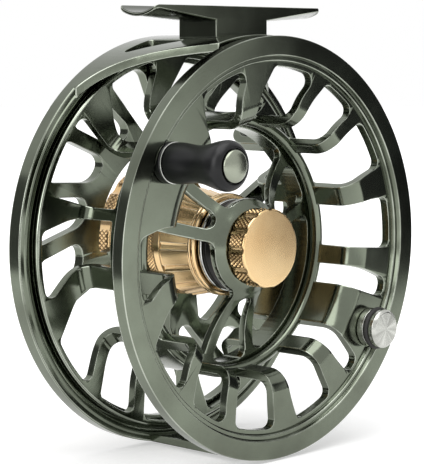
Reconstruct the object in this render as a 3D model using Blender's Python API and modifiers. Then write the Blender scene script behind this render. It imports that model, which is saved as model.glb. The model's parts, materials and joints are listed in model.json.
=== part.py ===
"""Fly reel with a large ported arbor: open cage frame with a saddle foot, a machined spool
with a crank handle and counterweight, a disc drag on the spindle, and a release cap.

Every piece is drawn in the reel's own frame: the spin axis is local Z, pointing forward to the
handle side, X is to the right and Y is up. The empty "reel_axis" stands that frame in the
world with the front toward -Y and the origin in the middle of the foot's saddle.
"""

import math

import bmesh
import bpy
from mathutils import Vector

# Clearances, in metres: running fits, seated pieces, and the spool in its frame.
RUN = 0.00005
SEAT = 0.0002
AIR = 0.0006
RIM_GAP = 0.0009

# Spool. Stations along the axis count forward from the middle of the arbor.
RIM_RADIUS = 0.0500
RIM_WIDTH = 0.0049
RIM_DEPTH = 0.0035
RIM_EDGE = 0.0004
RIM_LEDGE = 0.0012
FLANGE_RECESS = 0.0018
WALL = 0.0022
FRONT_REACH = 0.0152
BACK_REACH = 0.0136
BACK_SETBACK = 0.0037
BEND_RADIUS = 0.0050
ARBOR_RADIUS = 0.0298
RING_STEP = 0.0015
RING_HALF = 0.0028

# Ports through the spool's flanges and arbor, which mirror across the line from the handle to
# the counterweight. Each gives its near and far side as degrees from the handle, at the rim and
# at the arbor. The plate under the handle covers the first ones in the front flange.
HANDLE_ANGLE = math.radians(147.7)
PORTS = (
    ((3.0, 3.5), (18.8, 12.4)),
    ((25.1, 18.7), (46.9, 38.8)),
    ((58.7, 48.7), (78.4, 71.5)),
    ((84.0, 77.6), (100.1, 95.8)),
    ((105.0, 101.9), (123.2, 122.2)),
    ((134.2, 131.8), (151.6, 151.4)),
    ((162.1, 160.2), (168.3, 169.5)),
)
PLATE_PORTS = 1
FRONT_BAND = 0.0010
BACK_BAND = 0.0022
PORT_CORNER = 0.0020
PORT_FLOOR = 0.0024

# Web of the spool: pairs of arms from the arbor ring forward to the hub.
ARM_PAIRS = 3
ARM_ANGLE = math.radians(30)
ARM_SPREAD = math.radians(15)
ARM_WIDTH = 0.0036
ARM_CORNER = 0.0022
CROTCH_RADIUS = 0.0155
WEB_THICKNESS = 0.0038
HUB_RADIUS = 0.0113
HUB_NOSE_RADIUS = 0.0092
HUB_NOSE_DROP = 0.0014
HUB_FRONT = 0.0110
HUB_LENGTH = 0.0032

# Spindle, bearing and one-way clutch inside the hub.
SPINDLE_RADIUS = 0.0030
SPINDLE_ROOT_RADIUS = 0.0040
SLEEVE_WALL = 0.0020
CLUTCH_WALL = 0.0024
HOUSING_RADIUS = 0.0109
HOUSING_LENGTH = 0.0031
BEARING_WALL = 0.0034
FACE_RING_RADIUS = 0.0112
FACE_RING_THICKNESS = 0.0011

# Release cap on the hub's nose.
CAP_RADIUS = 0.0094
CAP_DEPTH = 0.0054
CAP_EDGE = 0.0004
CAP_SCALLOPS = 12
CAP_SCALLOP_DEPTH = 0.0006
CAP_SCALLOP_RADIUS = 0.0015

# Drag: lid, fluted cup, collar, and the discs and push pins inside.
LID_RADIUS = 0.0124
LID_LENGTH = 0.0022
LID_GROOVE = 0.0006
DRUM_RADIUS = 0.0114
DRUM_WALL = 0.0016
DRUM_LENGTH = 0.0088
DRUM_FLUTES = 14
FLUTE_DEPTH = 0.0006
FLUTE_WIDTH = 0.0011
COLLAR_RADIUS = 0.0132
COLLAR_LENGTH = 0.0049
COLLAR_EDGE = 0.0006
DISC_THICKNESS = 0.0010
ROTOR_THICKNESS = 0.0014
PRESSURE_PLATE = 0.0013
PRESSURE_TRAVEL = 0.0003
PIN_COUNT = 3
PIN_RADIUS = 0.0010
PIN_CIRCLE = 0.0072

# Frame: back ring and windowed plate with its hub, the bridge under the foot, and the bottom bar.
RING_WIDTH = 0.0031
RING_DEPTH = 0.0045
RING_LEDGE = 0.0004
RING_LEDGE_WIDTH = 0.0016
BACK_PLATE = 0.0029
FRAME_EDGE = 0.0004
FRAME_HUB_RADIUS = 0.0140
FRAME_WINDOWS = 18
FRAME_SPOKE_WIDTH = 0.0036
FRAME_BAND = 0.0054
FRAME_WINDOW_INNER = 0.0250
FRAME_WINDOW_CORNER = 0.0022
FRAME_RING_WIDTH = 0.0030
FRAME_ARM_WIDTH = 0.0084
FRAME_ARM_CORNER = 0.0036
FRAME_HUB_CORNER = 0.0021
BRIDGE_WALL = 0.0022
BRIDGE_PROUD = 0.0003
BRIDGE_FRONT = 0.0134
BRIDGE_BACK_HALF = 0.0284
BRIDGE_FRONT_HALF = 0.0142
BRIDGE_SWEEP = 0.0560
BAR_HALF = 0.0087
PAD_DEPTH = 0.0013
PAD_LENGTH = 0.0180
POCKET_INNER = 0.0105
POCKET_WIDTH = 0.0105
POCKET_LENGTH = 0.0140
POCKET_SETBACK = 0.0018
POCKET_CORNER = 0.0012

# Saddle foot on its pedestal, with two screws from under the bridge.
FOOT_LENGTH = 0.0563
FOOT_WIDTH = 0.0125
FOOT_CENTRE = 0.0010
FOOT_RISE = 0.0072
FOOT_SADDLE_RADIUS = 0.0113
FOOT_THICKNESS = 0.0019
FOOT_EDGE_THICKNESS = 0.0034
FOOT_TIP_THICKNESS = 0.0008
FOOT_TIP_ROUND = 0.0012
PEDESTAL_HALF = 0.0087
SCREW_RADIUS = 0.0013
SCREW_HEAD_RADIUS = 0.0024
SCREW_HEAD_DEPTH = 0.0009
SCREW_LENGTH = 0.0045
SCREW_SPACING = 0.0098

# Crank handle, and the counterweight opposite it.
HANDLE_INSET = 0.0092
HANDLE_RADIUS = 0.0056
HANDLE_TAPER = 0.0010
HANDLE_WAIST = 0.0009
HANDLE_LENGTH = 0.0180
BASE_RADIUS = 0.0047
BASE_THICKNESS = 0.0020
STUD_RADIUS = 0.0017
STUD_HEAD_RADIUS = 0.0030
STUD_HEAD_DEPTH = 0.0010
WASHER_THICKNESS = 0.0004
END_CAP_RADIUS = 0.0036
END_CAP_DOME = 0.0010
BALANCE_INSET = 0.0084
BALANCE_RADIUS = 0.0044
BALANCE_LENGTH = 0.0056
BALANCE_GROOVE = 0.0009
BALANCE_RING_PROUD = 0.0004
BALANCE_EDGE = 0.0007

# Drag knob behind the plate, on the spindle's threaded end.
KNOB_RADIUS = 0.0185
KNOB_DEPTH = 0.0048
KNOB_EDGE = 0.0006
KNOB_DISH = 0.0012
KNOB_DISH_RADIUS = 0.0140
KNOB_SCALLOPS = 12
KNOB_SCALLOP_DEPTH = 0.0009
KNOB_SCALLOP_RADIUS = 0.0026
NUT_RADIUS = 0.0055
NUT_DEPTH = 0.0026

# Facets round the large wheels, the knobs and the small inner pieces.
SPOOL_STEPS = 56
FRAME_STEPS = FRAME_WINDOWS * 3
KNOB_STEPS = 32
SMALL_STEPS = 20
BEND_SEGMENTS = 3
CORNER_SEGMENTS = 2
SADDLE_SEGMENTS = 6
SMOOTH_ANGLE = math.radians(35)

# How much of a window's inner end its two rounded corners take up.
ROOT_FULLNESS = 0.9

# Stations and radii that follow from the sizes above.
BACK_RADIUS = RIM_RADIUS - BACK_SETBACK
HANDLE_ORBIT = RIM_RADIUS - HANDLE_INSET
BALANCE_ORBIT = RIM_RADIUS - BALANCE_INSET
FLANGE_FRONT = FRONT_REACH + WALL
FLANGE_BACK = -BACK_REACH - WALL
RIM_FRONT = FLANGE_FRONT + FLANGE_RECESS
RIM_BACK = RIM_FRONT - RIM_DEPTH
RIM_INNER = RIM_RADIUS - RIM_WIDTH
LEDGE_INNER = RIM_INNER - RIM_LEDGE
PORT_RADIUS = LEDGE_INNER - FRONT_BAND
BACK_PORT_RADIUS = BACK_RADIUS - BACK_BAND
BEND_START = ARBOR_RADIUS + BEND_RADIUS
BALANCE_ANGLE = HANDLE_ANGLE + math.pi
ARM_PITCH = 2 * math.pi / ARM_PAIRS
RING_RADIUS = ARBOR_RADIUS - RING_STEP
WEB_RADIUS = RING_RADIUS - SEAT
PORT_ROOT = RING_RADIUS + RING_STEP / 2
HUB_BACK = HUB_FRONT - HUB_LENGTH
SLEEVE_RADIUS = SPINDLE_RADIUS + RUN + SLEEVE_WALL
CLUTCH_RADIUS = SLEEVE_RADIUS + RUN + CLUTCH_WALL
BEARING_RADIUS = SPINDLE_RADIUS + RUN + BEARING_WALL
HOUSING_FRONT = HUB_BACK - SEAT
HOUSING_BACK = HOUSING_FRONT - HOUSING_LENGTH
FACE_RING_FRONT = HOUSING_BACK - SEAT
FACE_RING_BACK = FACE_RING_FRONT - FACE_RING_THICKNESS
CAP_BACK = HUB_FRONT + SEAT
CAP_FRONT = CAP_BACK + CAP_DEPTH
LID_FRONT = FACE_RING_BACK - SEAT
LID_BACK = LID_FRONT - LID_LENGTH
DRUM_FRONT = LID_BACK - SEAT
DRUM_BACK = DRUM_FRONT - DRUM_LENGTH
DRUM_INNER = DRUM_RADIUS - FLUTE_DEPTH - DRUM_WALL
FRONT_DISC = DRUM_FRONT
ROTOR_FRONT = FRONT_DISC - DISC_THICKNESS - SEAT
ROTOR_BACK = ROTOR_FRONT - ROTOR_THICKNESS
REAR_DISC = ROTOR_BACK - SEAT
PRESSURE_FRONT = REAR_DISC - DISC_THICKNESS - SEAT - PRESSURE_TRAVEL
PRESSURE_BACK = PRESSURE_FRONT - PRESSURE_PLATE
DRUM_FLOOR = PRESSURE_BACK - SEAT
DISC_RADIUS = DRUM_INNER - 2 * SEAT
COLLAR_FRONT = DRUM_BACK - SEAT
COLLAR_BACK = COLLAR_FRONT - COLLAR_LENGTH
HUB_FACE = COLLAR_BACK - SEAT
PLATE_FRONT = FLANGE_BACK - AIR
FRAME_BACK = PLATE_FRONT - BACK_PLATE
RING_INNER = BACK_RADIUS + RIM_GAP
FRAME_RADIUS = RING_INNER + RING_WIDTH
RING_FRONT = FRAME_BACK + RING_DEPTH
FRAME_WINDOW_OUTER = RING_INNER - FRAME_BAND
FRAME_RING_INNER = FRAME_WINDOW_INNER - FRAME_RING_WIDTH
ROOT_BORE = SPINDLE_ROOT_RADIUS + RUN
PIN_BORE = PIN_RADIUS + RUN
BRIDGE_RADIUS = FRAME_RADIUS + BRIDGE_PROUD
BRIDGE_INNER = BRIDGE_RADIUS - BRIDGE_WALL
PAD_INNER = BRIDGE_INNER - PAD_DEPTH
BRIDGE_BACK = RING_FRONT + SEAT
SEAT_HEIGHT = math.sqrt(BRIDGE_RADIUS**2 - PEDESTAL_HALF**2)
PEDESTAL_BASE = SEAT_HEIGHT + SEAT
FOOT_TOP = SEAT_HEIGHT + FOOT_RISE
SADDLE_DROP = FOOT_SADDLE_RADIUS - math.sqrt(FOOT_SADDLE_RADIUS**2 - FOOT_WIDTH**2 / 4)
SADDLE_HEIGHT = FOOT_TOP - SADDLE_DROP
KNOB_FRONT = FRAME_BACK - 2 * SEAT
KNOB_BACK = KNOB_FRONT - KNOB_DEPTH
NUT_FRONT = KNOB_BACK + KNOB_DISH - SEAT
NUT_BACK = NUT_FRONT - NUT_DEPTH
NUT_FLOOR = NUT_BACK + NUT_DEPTH / 3
SPINDLE_FRONT = CAP_BACK + CAP_DEPTH / 3
CAP_FLOOR = SPINDLE_FRONT + SEAT
BASE_FRONT = FLANGE_FRONT + BASE_THICKNESS
WASHER_BACK = BASE_FRONT + SEAT
WASHER_FRONT = WASHER_BACK + WASHER_THICKNESS
HANDLE_BACK = WASHER_FRONT + SEAT
HANDLE_FRONT = HANDLE_BACK + HANDLE_LENGTH
BALANCE_BACK = FLANGE_FRONT + SEAT
BALANCE_FRONT = BALANCE_BACK + BALANCE_LENGTH

OLIVE = ((0.105, 0.112, 0.092, 1.0), 0.32, 0.9)
GOLD = ((0.560, 0.350, 0.140, 1.0), 0.28, 1.0)
BLACK = ((0.015, 0.015, 0.017, 1.0), 0.45, 0.0)
SILVER = ((0.520, 0.520, 0.500, 1.0), 0.25, 1.0)
STEEL = ((0.420, 0.430, 0.440, 1.0), 0.30, 1.0)
CARBON = ((0.020, 0.020, 0.022, 1.0), 0.60, 0.0)

for leftover in list(bpy.data.objects):
    bpy.data.objects.remove(leftover, do_unlink=True)

parts = bpy.data.collections.new("fly_reel")
cutters = bpy.data.collections.new("fly_reel_cutters")
for group in (parts, cutters):
    bpy.context.scene.collection.children.link(group)


def polar(radius, angle):
    return radius * math.cos(angle), radius * math.sin(angle)


def add_axis(name, place, parent):
    """An empty that carries the pieces lying along one axis."""
    axis = bpy.data.objects.new(name, None)
    axis.location = (place[0], place[1], 0)
    axis.parent = parent
    parts.objects.link(axis)
    return axis


reel_axis = add_axis("reel_axis", (0, 0), None)
reel_axis.location = (0, FOOT_CENTRE, -SADDLE_HEIGHT)
reel_axis.rotation_euler = (math.pi / 2, 0, 0)
handle_axis = add_axis("handle_axis", polar(HANDLE_ORBIT, HANDLE_ANGLE), reel_axis)
balance_axis = add_axis("balance_axis", polar(BALANCE_ORBIT, BALANCE_ANGLE), reel_axis)


def make_material(name, colour, roughness, metallic):
    material = bpy.data.materials.new(name)
    material.use_nodes = True
    shader = material.node_tree.nodes["Principled BSDF"]
    shader.inputs["Base Color"].default_value = colour
    shader.inputs["Roughness"].default_value = roughness
    shader.inputs["Metallic"].default_value = metallic
    return material


def add_part(name, mesh, finish, axis=reel_axis):
    part = bpy.data.objects.new(name, mesh)
    part.parent = axis
    mesh.materials.append(make_material(name, *finish))
    parts.objects.link(part)
    return part


def add_cutter(name, mesh, axis=reel_axis):
    cutter = bpy.data.objects.new(name, mesh)
    cutter.parent = axis
    cutter.hide_render = True
    cutter.display_type = "WIRE"
    cutters.objects.link(cutter)
    return cutter


def arc(centre, radius, start, end, segments):
    """Points on a circle from one angle to another, both ends included."""
    points = []
    for step in range(segments + 1):
        angle = start + (end - start) * step / segments
        x, y = polar(radius, angle)
        points.append((centre[0] + x, centre[1] + y))
    return points


def signed_area(points):
    following = points[1:] + points[:1]
    return sum(a[0] * b[1] - b[0] * a[1] for a, b in zip(points, following)) / 2


def finished(name, bm):
    mesh = bpy.data.meshes.new(name)
    bm.to_mesh(mesh)
    bm.free()
    return mesh


def profile_mesh(name, profile):
    """A turning profile of (radius, station) points, run down its outer side. It closes into
    a loop unless both of its ends lie on the axis."""
    if signed_area(profile) > 0:
        profile = profile[::-1]
    bm = bmesh.new()
    corners = [bm.verts.new((radius, 0, station)) for radius, station in profile]
    for first, second in zip(corners, corners[1:]):
        bm.edges.new((first, second))
    if profile[0][0] > 0:
        bm.edges.new((corners[-1], corners[0]))
    return finished(name, bm)


def turn(obj, steps):
    screw = obj.modifiers.new("turn", "SCREW")
    screw.axis = "Z"
    screw.steps = steps
    screw.render_steps = steps
    screw.use_merge_vertices = True
    screw.merge_threshold = 0.000001
    return obj


def turned_part(name, profile, steps, finish, axis=reel_axis):
    return turn(add_part(name, profile_mesh(name, profile), finish, axis), steps)


def turned_cutter(name, profile, steps, axis=reel_axis):
    return turn(add_cutter(name, profile_mesh(name, profile), axis), steps)


def tube(inner, outer, back, front):
    return [(inner, front), (outer, front), (outer, back), (inner, back)]


def rod(radius, back, front):
    return [(0, front), (radius, front), (radius, back), (0, back)]


def prism_mesh(name, outlines, low, high, upright=False):
    """Flat outlines pulled straight through: along the axis from one station to another, or
    upward from outlines drawn in plan where upright is set."""
    bm = bmesh.new()
    for outline in outlines:
        if upright:
            corners = [bm.verts.new((x, low, z)) for x, z in outline]
            pull = Vector((0, high - low, 0))
        else:
            corners = [bm.verts.new((x, y, low)) for x, y in outline]
            pull = Vector((0, 0, high - low))
        floor = bm.faces.new(corners)
        walls = bmesh.ops.extrude_face_region(bm, geom=[floor], use_keep_orig=True)
        moved = [item for item in walls["geom"] if isinstance(item, bmesh.types.BMVert)]
        bmesh.ops.translate(bm, verts=moved, vec=pull)
    bmesh.ops.recalc_face_normals(bm, faces=bm.faces)
    return finished(name, bm)


def combine(obj, other, operation="DIFFERENCE"):
    boolean = obj.modifiers.new(other.name, "BOOLEAN")
    boolean.operation = operation
    boolean.object = other
    boolean.solver = "EXACT"


def short_arc(centre, radius, first, last, segments):
    """Points on a circle the short way round between the directions of two vectors."""
    start = math.atan2(first[1], first[0])
    swing = math.atan2(last[1], last[0]) - start
    swing = (swing + math.pi) % (2 * math.pi) - math.pi
    return arc(centre, radius, start, start + swing, segments)


def corner_arc(limit, outward, spoke, half, corner):
    """The rounded corner between a window's straight side and its round end, as points from
    the side to the end. The side lies half a spoke off the ray at the angle spoke, to its
    left, or to its right where half is negative."""
    reach = limit - corner if outward else limit + corner
    across = abs(half) + corner
    along = math.sqrt(reach**2 - across**2)
    ray = Vector(polar(1, spoke))
    aside = Vector((-ray.y, ray.x)) * math.copysign(1, half)
    centre = ray * along + aside * across
    toward = centre if outward else -centre
    return short_arc(centre, corner, -aside, toward, CORNER_SEGMENTS)


def window_outline(angles, radii, halves, corners, segments=3):
    """A window between two spokes. Each pair gives the first and last spoke's angle, the inner
    and outer radius, half the width of each spoke, and the inner and outer corner."""
    first_out = corner_arc(radii[1], True, angles[0], halves[0], corners[1])
    last_out = corner_arc(radii[1], True, angles[1], -halves[1], corners[1])
    first_in = corner_arc(radii[0], False, angles[0], halves[0], corners[0])
    last_in = corner_arc(radii[0], False, angles[1], -halves[1], corners[0])
    rim = short_arc((0, 0), radii[1], first_out[-1], last_out[-1], segments)[1:-1]
    root = short_arc((0, 0), radii[0], last_in[-1], first_in[-1], segments)[1:-1]
    return first_out + rim + last_out[::-1] + last_in + root + first_in[::-1]


def round_root(inner, half_angle, half_spoke):
    """A corner that nearly fills a window's inner end, just short of the two corners meeting."""
    full = (inner * math.sin(half_angle) - half_spoke) / (1 - math.sin(half_angle))
    return ROOT_FULLNESS * full


def rounded(corners, radius):
    """A straight-sided outline with its corners rounded."""
    points = []
    for index, place in enumerate(corners):
        here = Vector(place)
        before = (Vector(corners[index - 1]) - here).normalized()
        after = (Vector(corners[(index + 1) % len(corners)]) - here).normalized()
        half = before.angle(after) / 2
        centre = here + (before + after).normalized() * radius / math.sin(half)
        tangent = radius / math.tan(half)
        start = here + before * tangent - centre
        end = here + after * tangent - centre
        points += short_arc(centre, radius, start, end, CORNER_SEGMENTS)
    return points


# Spool: two rims, the ported staves of the arbor between them, and the web that holds the hub.
rim_profile = [
    (PORT_RADIUS, FLANGE_FRONT),
    (LEDGE_INNER, FLANGE_FRONT),
    (LEDGE_INNER + RIM_EDGE, FLANGE_FRONT + FLANGE_RECESS / 2),
    (RIM_INNER, FLANGE_FRONT + FLANGE_RECESS / 2),
    (RIM_INNER + RIM_EDGE, RIM_FRONT),
    (RIM_RADIUS - RIM_EDGE, RIM_FRONT),
    (RIM_RADIUS, RIM_FRONT - RIM_EDGE),
    (RIM_RADIUS, RIM_BACK + RIM_EDGE),
    (RIM_RADIUS - RIM_EDGE, RIM_BACK),
    (RIM_INNER + RIM_EDGE, RIM_BACK),
    (RIM_INNER, FRONT_REACH),
    (PORT_RADIUS, FRONT_REACH),
]
rim = turned_part("spool_rim", rim_profile, SPOOL_STEPS, OLIVE)
back_rim_profile = [
    (BACK_PORT_RADIUS, -BACK_REACH),
    (BACK_RADIUS - RIM_EDGE, -BACK_REACH),
    (BACK_RADIUS, -BACK_REACH - RIM_EDGE),
    (BACK_RADIUS, FLANGE_BACK + RIM_EDGE),
    (BACK_RADIUS - RIM_EDGE, FLANGE_BACK),
    (BACK_PORT_RADIUS, FLANGE_BACK),
]
turned_part("spool_back_rim", back_rim_profile, SPOOL_STEPS, OLIVE)

bend_front = (BEND_START, FLANGE_FRONT - BEND_RADIUS)
bend_back = (BEND_START, FLANGE_BACK + BEND_RADIUS)
line_bend = BEND_RADIUS - WALL
quarter = math.pi / 2
stave_profile = (
    [(RING_RADIUS, RING_HALF), (ARBOR_RADIUS, RING_HALF)]
    + arc(bend_front, BEND_RADIUS, 2 * quarter, quarter, BEND_SEGMENTS)
    + [(PORT_RADIUS - SEAT, FLANGE_FRONT), (PORT_RADIUS - SEAT, FRONT_REACH)]
    + arc(bend_front, line_bend, quarter, 2 * quarter, BEND_SEGMENTS)
    + arc(bend_back, line_bend, 2 * quarter, 3 * quarter, BEND_SEGMENTS)
    + [(BACK_PORT_RADIUS - SEAT, -BACK_REACH), (BACK_PORT_RADIUS - SEAT, FLANGE_BACK)]
    + arc(bend_back, BEND_RADIUS, 3 * quarter, 2 * quarter, BEND_SEGMENTS)
    + [(ARBOR_RADIUS, -RING_HALF), (RING_RADIUS, -RING_HALF)]
)


def from_handle(points):
    """Points drawn with the handle along X, turned to the handle's angle."""
    cosine, sine = polar(1, HANDLE_ANGLE)
    return [(x * cosine - y * sine, x * sine + y * cosine) for x, y in points]


def rim_corner(root, rim_end, limit, hand):
    """The rounded corner where a port's slanted side meets its round outer end, as points from
    side to end. The port lies to the left of the outward side, or to its right for a hand of -1."""
    ray = (rim_end - root).normalized()
    aside = Vector((-ray.y, ray.x)) * hand
    across = root.dot(aside) + PORT_CORNER
    along = math.sqrt((limit - PORT_CORNER) ** 2 - across**2)
    centre = ray * along + aside * across
    return short_arc(centre, PORT_CORNER, -aside, centre, CORNER_SEGMENTS)


def port_outline(port, limit):
    """A port from the front: slanted sides from the rim to the arbor's bend, then straight in."""
    corners = []
    roots = []
    for hand, (at_rim, at_arbor) in zip((1, -1), port):
        root = Vector(polar(BEND_START, math.radians(at_arbor)))
        rim_end = Vector(polar(PORT_RADIUS, math.radians(at_rim)))
        corners.append(rim_corner(root, rim_end, limit, hand))
        roots.append([polar(PORT_ROOT, math.radians(at_arbor)), tuple(root)])
    end = short_arc((0, 0), limit, corners[0][-1], corners[1][-1], 3)[1:-1]
    root_end = short_arc((0, 0), PORT_ROOT, roots[1][0], roots[0][0], 3)[1:-1]
    return roots[0] + corners[0] + end + corners[1][::-1] + roots[1][::-1] + root_end


def both_hands(outlines):
    """Outlines on the handle's left, with their mirror images on its right."""
    doubled = []
    for outline in outlines:
        doubled.append(from_handle(outline))
        doubled.append(from_handle([(x, -y) for x, y in outline[::-1]]))
    return doubled


front_outlines = both_hands([port_outline(port, PORT_RADIUS) for port in PORTS[PLATE_PORTS:]])
back_outlines = both_hands([port_outline(port, BACK_PORT_RADIUS) for port in PORTS])
port_floor = RING_HALF + PORT_FLOOR
front_ports = prism_mesh("front_ports", front_outlines, port_floor, RIM_FRONT + WALL)
back_ports = prism_mesh("back_ports", back_outlines, FLANGE_BACK - WALL, -port_floor)
front_cutter = add_cutter("front_ports", front_ports)
back_cutter = add_cutter("back_ports", back_ports)


def stave_bounds(first, last):
    """A wedge between two angles from the handle, drawn in by half a seat on each side."""
    half = (last - first) / 2
    apex = Vector(polar(SEAT / 2 / math.sin(half), (first + last) / 2))
    near = apex + Vector(polar(2 * RIM_RADIUS, first))
    far = apex + Vector(polar(2 * RIM_RADIUS, last))
    return from_handle([apex, near, far])


seams = [math.radians(sum(near + far) / 4) for near, far in PORTS]
seams = [-seam for seam in seams[::-1]] + seams
seams.append(seams[0] + 2 * math.pi)
staves = []
for index, (first, last) in enumerate(zip(seams, seams[1:])):
    name = f"spool_stave_{index + 1}"
    stave = turned_part(name, stave_profile, SPOOL_STEPS, OLIVE)
    wedge = prism_mesh(name + "_bounds", [stave_bounds(first, last)], 2 * FLANGE_BACK, 2 * FLANGE_FRONT)
    combine(stave, add_cutter(name + "_bounds", wedge), "INTERSECT")
    combine(stave, front_cutter)
    combine(stave, back_cutter)
    staves.append(stave)
handle_stave = staves[len(PORTS) - 1]
balance_stave = staves[-1]

web_profile = [
    (SLEEVE_RADIUS + SEAT, HUB_FRONT),
    (HUB_NOSE_RADIUS, HUB_FRONT),
    (HUB_RADIUS, HUB_FRONT - HUB_NOSE_DROP),
    (WEB_RADIUS, RING_HALF),
    (WEB_RADIUS, RING_HALF - WEB_THICKNESS),
    (HUB_RADIUS, HUB_BACK),
    (SLEEVE_RADIUS + SEAT, HUB_BACK),
]
web = turned_part("spool_web", web_profile, SPOOL_STEPS, OLIVE)
web_windows = []
arm_halves = (ARM_WIDTH / 2, ARM_WIDTH / 2)
for pair in range(ARM_PAIRS):
    middle = ARM_ANGLE + pair * ARM_PITCH
    inside = (middle - ARM_SPREAD, middle + ARM_SPREAD)
    between = (middle + ARM_SPREAD, middle + ARM_PITCH - ARM_SPREAD)
    root_corner = round_root(CROTCH_RADIUS, ARM_SPREAD, ARM_WIDTH / 2)
    small_radii = (CROTCH_RADIUS, RING_RADIUS)
    large_radii = (HUB_RADIUS + SEAT, RING_RADIUS)
    web_windows.append(window_outline(inside, small_radii, arm_halves, (root_corner, ARM_CORNER)))
    web_windows.append(window_outline(between, large_radii, arm_halves, (ARM_CORNER, ARM_CORNER), 8))
web_ports = prism_mesh("web_windows", web_windows, -RING_HALF - WALL, HUB_FRONT + WALL)
combine(web, add_cutter("web_windows", web_ports))
bearing_seat = rod(BEARING_RADIUS + SEAT, HUB_BACK - WALL, HUB_FRONT + WALL)
combine(web, turned_cutter("bearing_seat", bearing_seat, SMALL_STEPS))

stud_hole = rod(STUD_RADIUS + SEAT, FRONT_REACH - WALL, FLANGE_FRONT + WALL)
combine(handle_stave, turned_cutter("handle_hole", stud_hole, SMALL_STEPS, handle_axis))
balance_hole = rod(SCREW_RADIUS + SEAT, FRONT_REACH - WALL, FLANGE_FRONT + WALL)
combine(balance_stave, turned_cutter("balance_hole", balance_hole, SMALL_STEPS, balance_axis))
base_seat = rod(BASE_RADIUS + SEAT, FLANGE_FRONT + SEAT / 2, RIM_FRONT + WALL)
combine(rim, turned_cutter("handle_seat", base_seat, SMALL_STEPS, handle_axis))
balance_seat = rod(BALANCE_RADIUS + SEAT, FLANGE_FRONT + SEAT / 2, RIM_FRONT + WALL)
combine(rim, turned_cutter("balance_seat", balance_seat, SMALL_STEPS, balance_axis))

# Bearing, clutch housing and roller clutch, carried by the spool's hub.
bearing = tube(SPINDLE_RADIUS + RUN, BEARING_RADIUS, HUB_BACK, HUB_FRONT)
turned_part("hub_bearing", bearing, SMALL_STEPS, STEEL)
housing = tube(CLUTCH_RADIUS + SEAT, HOUSING_RADIUS, HOUSING_BACK, HOUSING_FRONT)
turned_part("clutch_housing", housing, KNOB_STEPS, BLACK)
clutch = tube(SLEEVE_RADIUS + RUN, CLUTCH_RADIUS, HOUSING_BACK, HOUSING_FRONT)
turned_part("roller_clutch", clutch, KNOB_STEPS, STEEL)


def circle(centre, radius, segments):
    return arc(centre, radius, 0, 2 * math.pi, segments)[:-1]


def scallops(name, floor, radius, count, reach):
    """Round finger scallops, evenly spaced, as one cutter that goes in to the floor radius."""
    outlines = []
    for index in range(count):
        centre = polar(floor + radius, index * 2 * math.pi / count)
        outlines.append(circle(centre, radius, 10))
    return add_cutter(name, prism_mesh(name, outlines, *reach))


# Release cap on the hub's nose, hollow behind for the spindle's end.
cap_profile = [
    (0, CAP_FRONT),
    (CAP_RADIUS - CAP_EDGE, CAP_FRONT),
    (CAP_RADIUS, CAP_FRONT - CAP_EDGE),
    (CAP_RADIUS, CAP_BACK + CAP_EDGE),
    (CAP_RADIUS - CAP_EDGE, CAP_BACK),
    (SPINDLE_RADIUS + SEAT, CAP_BACK),
    (SPINDLE_RADIUS + SEAT, CAP_FLOOR),
    (0, CAP_FLOOR),
]
cap = turned_part("release_cap", cap_profile, KNOB_STEPS, GOLD)
cap_grip = CAP_RADIUS - CAP_SCALLOP_DEPTH
cap_reach = (CAP_BACK - WALL, CAP_FRONT - CAP_EDGE - SEAT)
combine(cap, scallops("cap_scallops", cap_grip, CAP_SCALLOP_RADIUS, CAP_SCALLOPS, cap_reach))

# Drag unit on the frame: face ring, lid, fluted cup and knurled collar.
face_ring = tube(SLEEVE_RADIUS + SEAT, FACE_RING_RADIUS, FACE_RING_BACK, FACE_RING_FRONT)
turned_part("face_ring", face_ring, KNOB_STEPS, SILVER)
lid_middle = (LID_FRONT + LID_BACK) / 2
lid_profile = [
    (SLEEVE_RADIUS + SEAT, LID_FRONT),
    (LID_RADIUS, LID_FRONT),
    (LID_RADIUS, lid_middle + LID_GROOVE / 2),
    (LID_RADIUS - LID_GROOVE, lid_middle),
    (LID_RADIUS, lid_middle - LID_GROOVE / 2),
    (LID_RADIUS, LID_BACK),
    (SLEEVE_RADIUS + SEAT, LID_BACK),
]
turned_part("drag_lid", lid_profile, KNOB_STEPS, GOLD)

flute_angle = FLUTE_WIDTH / DRUM_RADIUS / 2
drum_outline = []
for flute in range(DRUM_FLUTES):
    groove = flute * 2 * math.pi / DRUM_FLUTES
    land = groove + math.pi / DRUM_FLUTES
    drum_outline.append(polar(DRUM_RADIUS - FLUTE_DEPTH, groove))
    drum_outline.append(polar(DRUM_RADIUS, groove + flute_angle))
    drum_outline.append(polar(DRUM_RADIUS, land))
    drum_outline.append(polar(DRUM_RADIUS, groove + 2 * math.pi / DRUM_FLUTES - flute_angle))
drum = add_part("drag_cup", prism_mesh("drag_cup", [drum_outline], DRUM_BACK, DRUM_FRONT), GOLD)
combine(drum, turned_cutter("cup_cavity", rod(DRUM_INNER, DRUM_FLOOR, DRUM_FRONT + WALL), SMALL_STEPS))
combine(drum, turned_cutter("cup_bore", rod(ROOT_BORE, DRUM_BACK - WALL, DRUM_FRONT), SMALL_STEPS))
collar_profile = [
    (ROOT_BORE, COLLAR_FRONT),
    (COLLAR_RADIUS - COLLAR_EDGE, COLLAR_FRONT),
    (COLLAR_RADIUS, COLLAR_FRONT - COLLAR_EDGE),
    (COLLAR_RADIUS, COLLAR_BACK),
    (ROOT_BORE, COLLAR_BACK),
]
collar = turned_part("drag_collar", collar_profile, KNOB_STEPS, GOLD)

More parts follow.
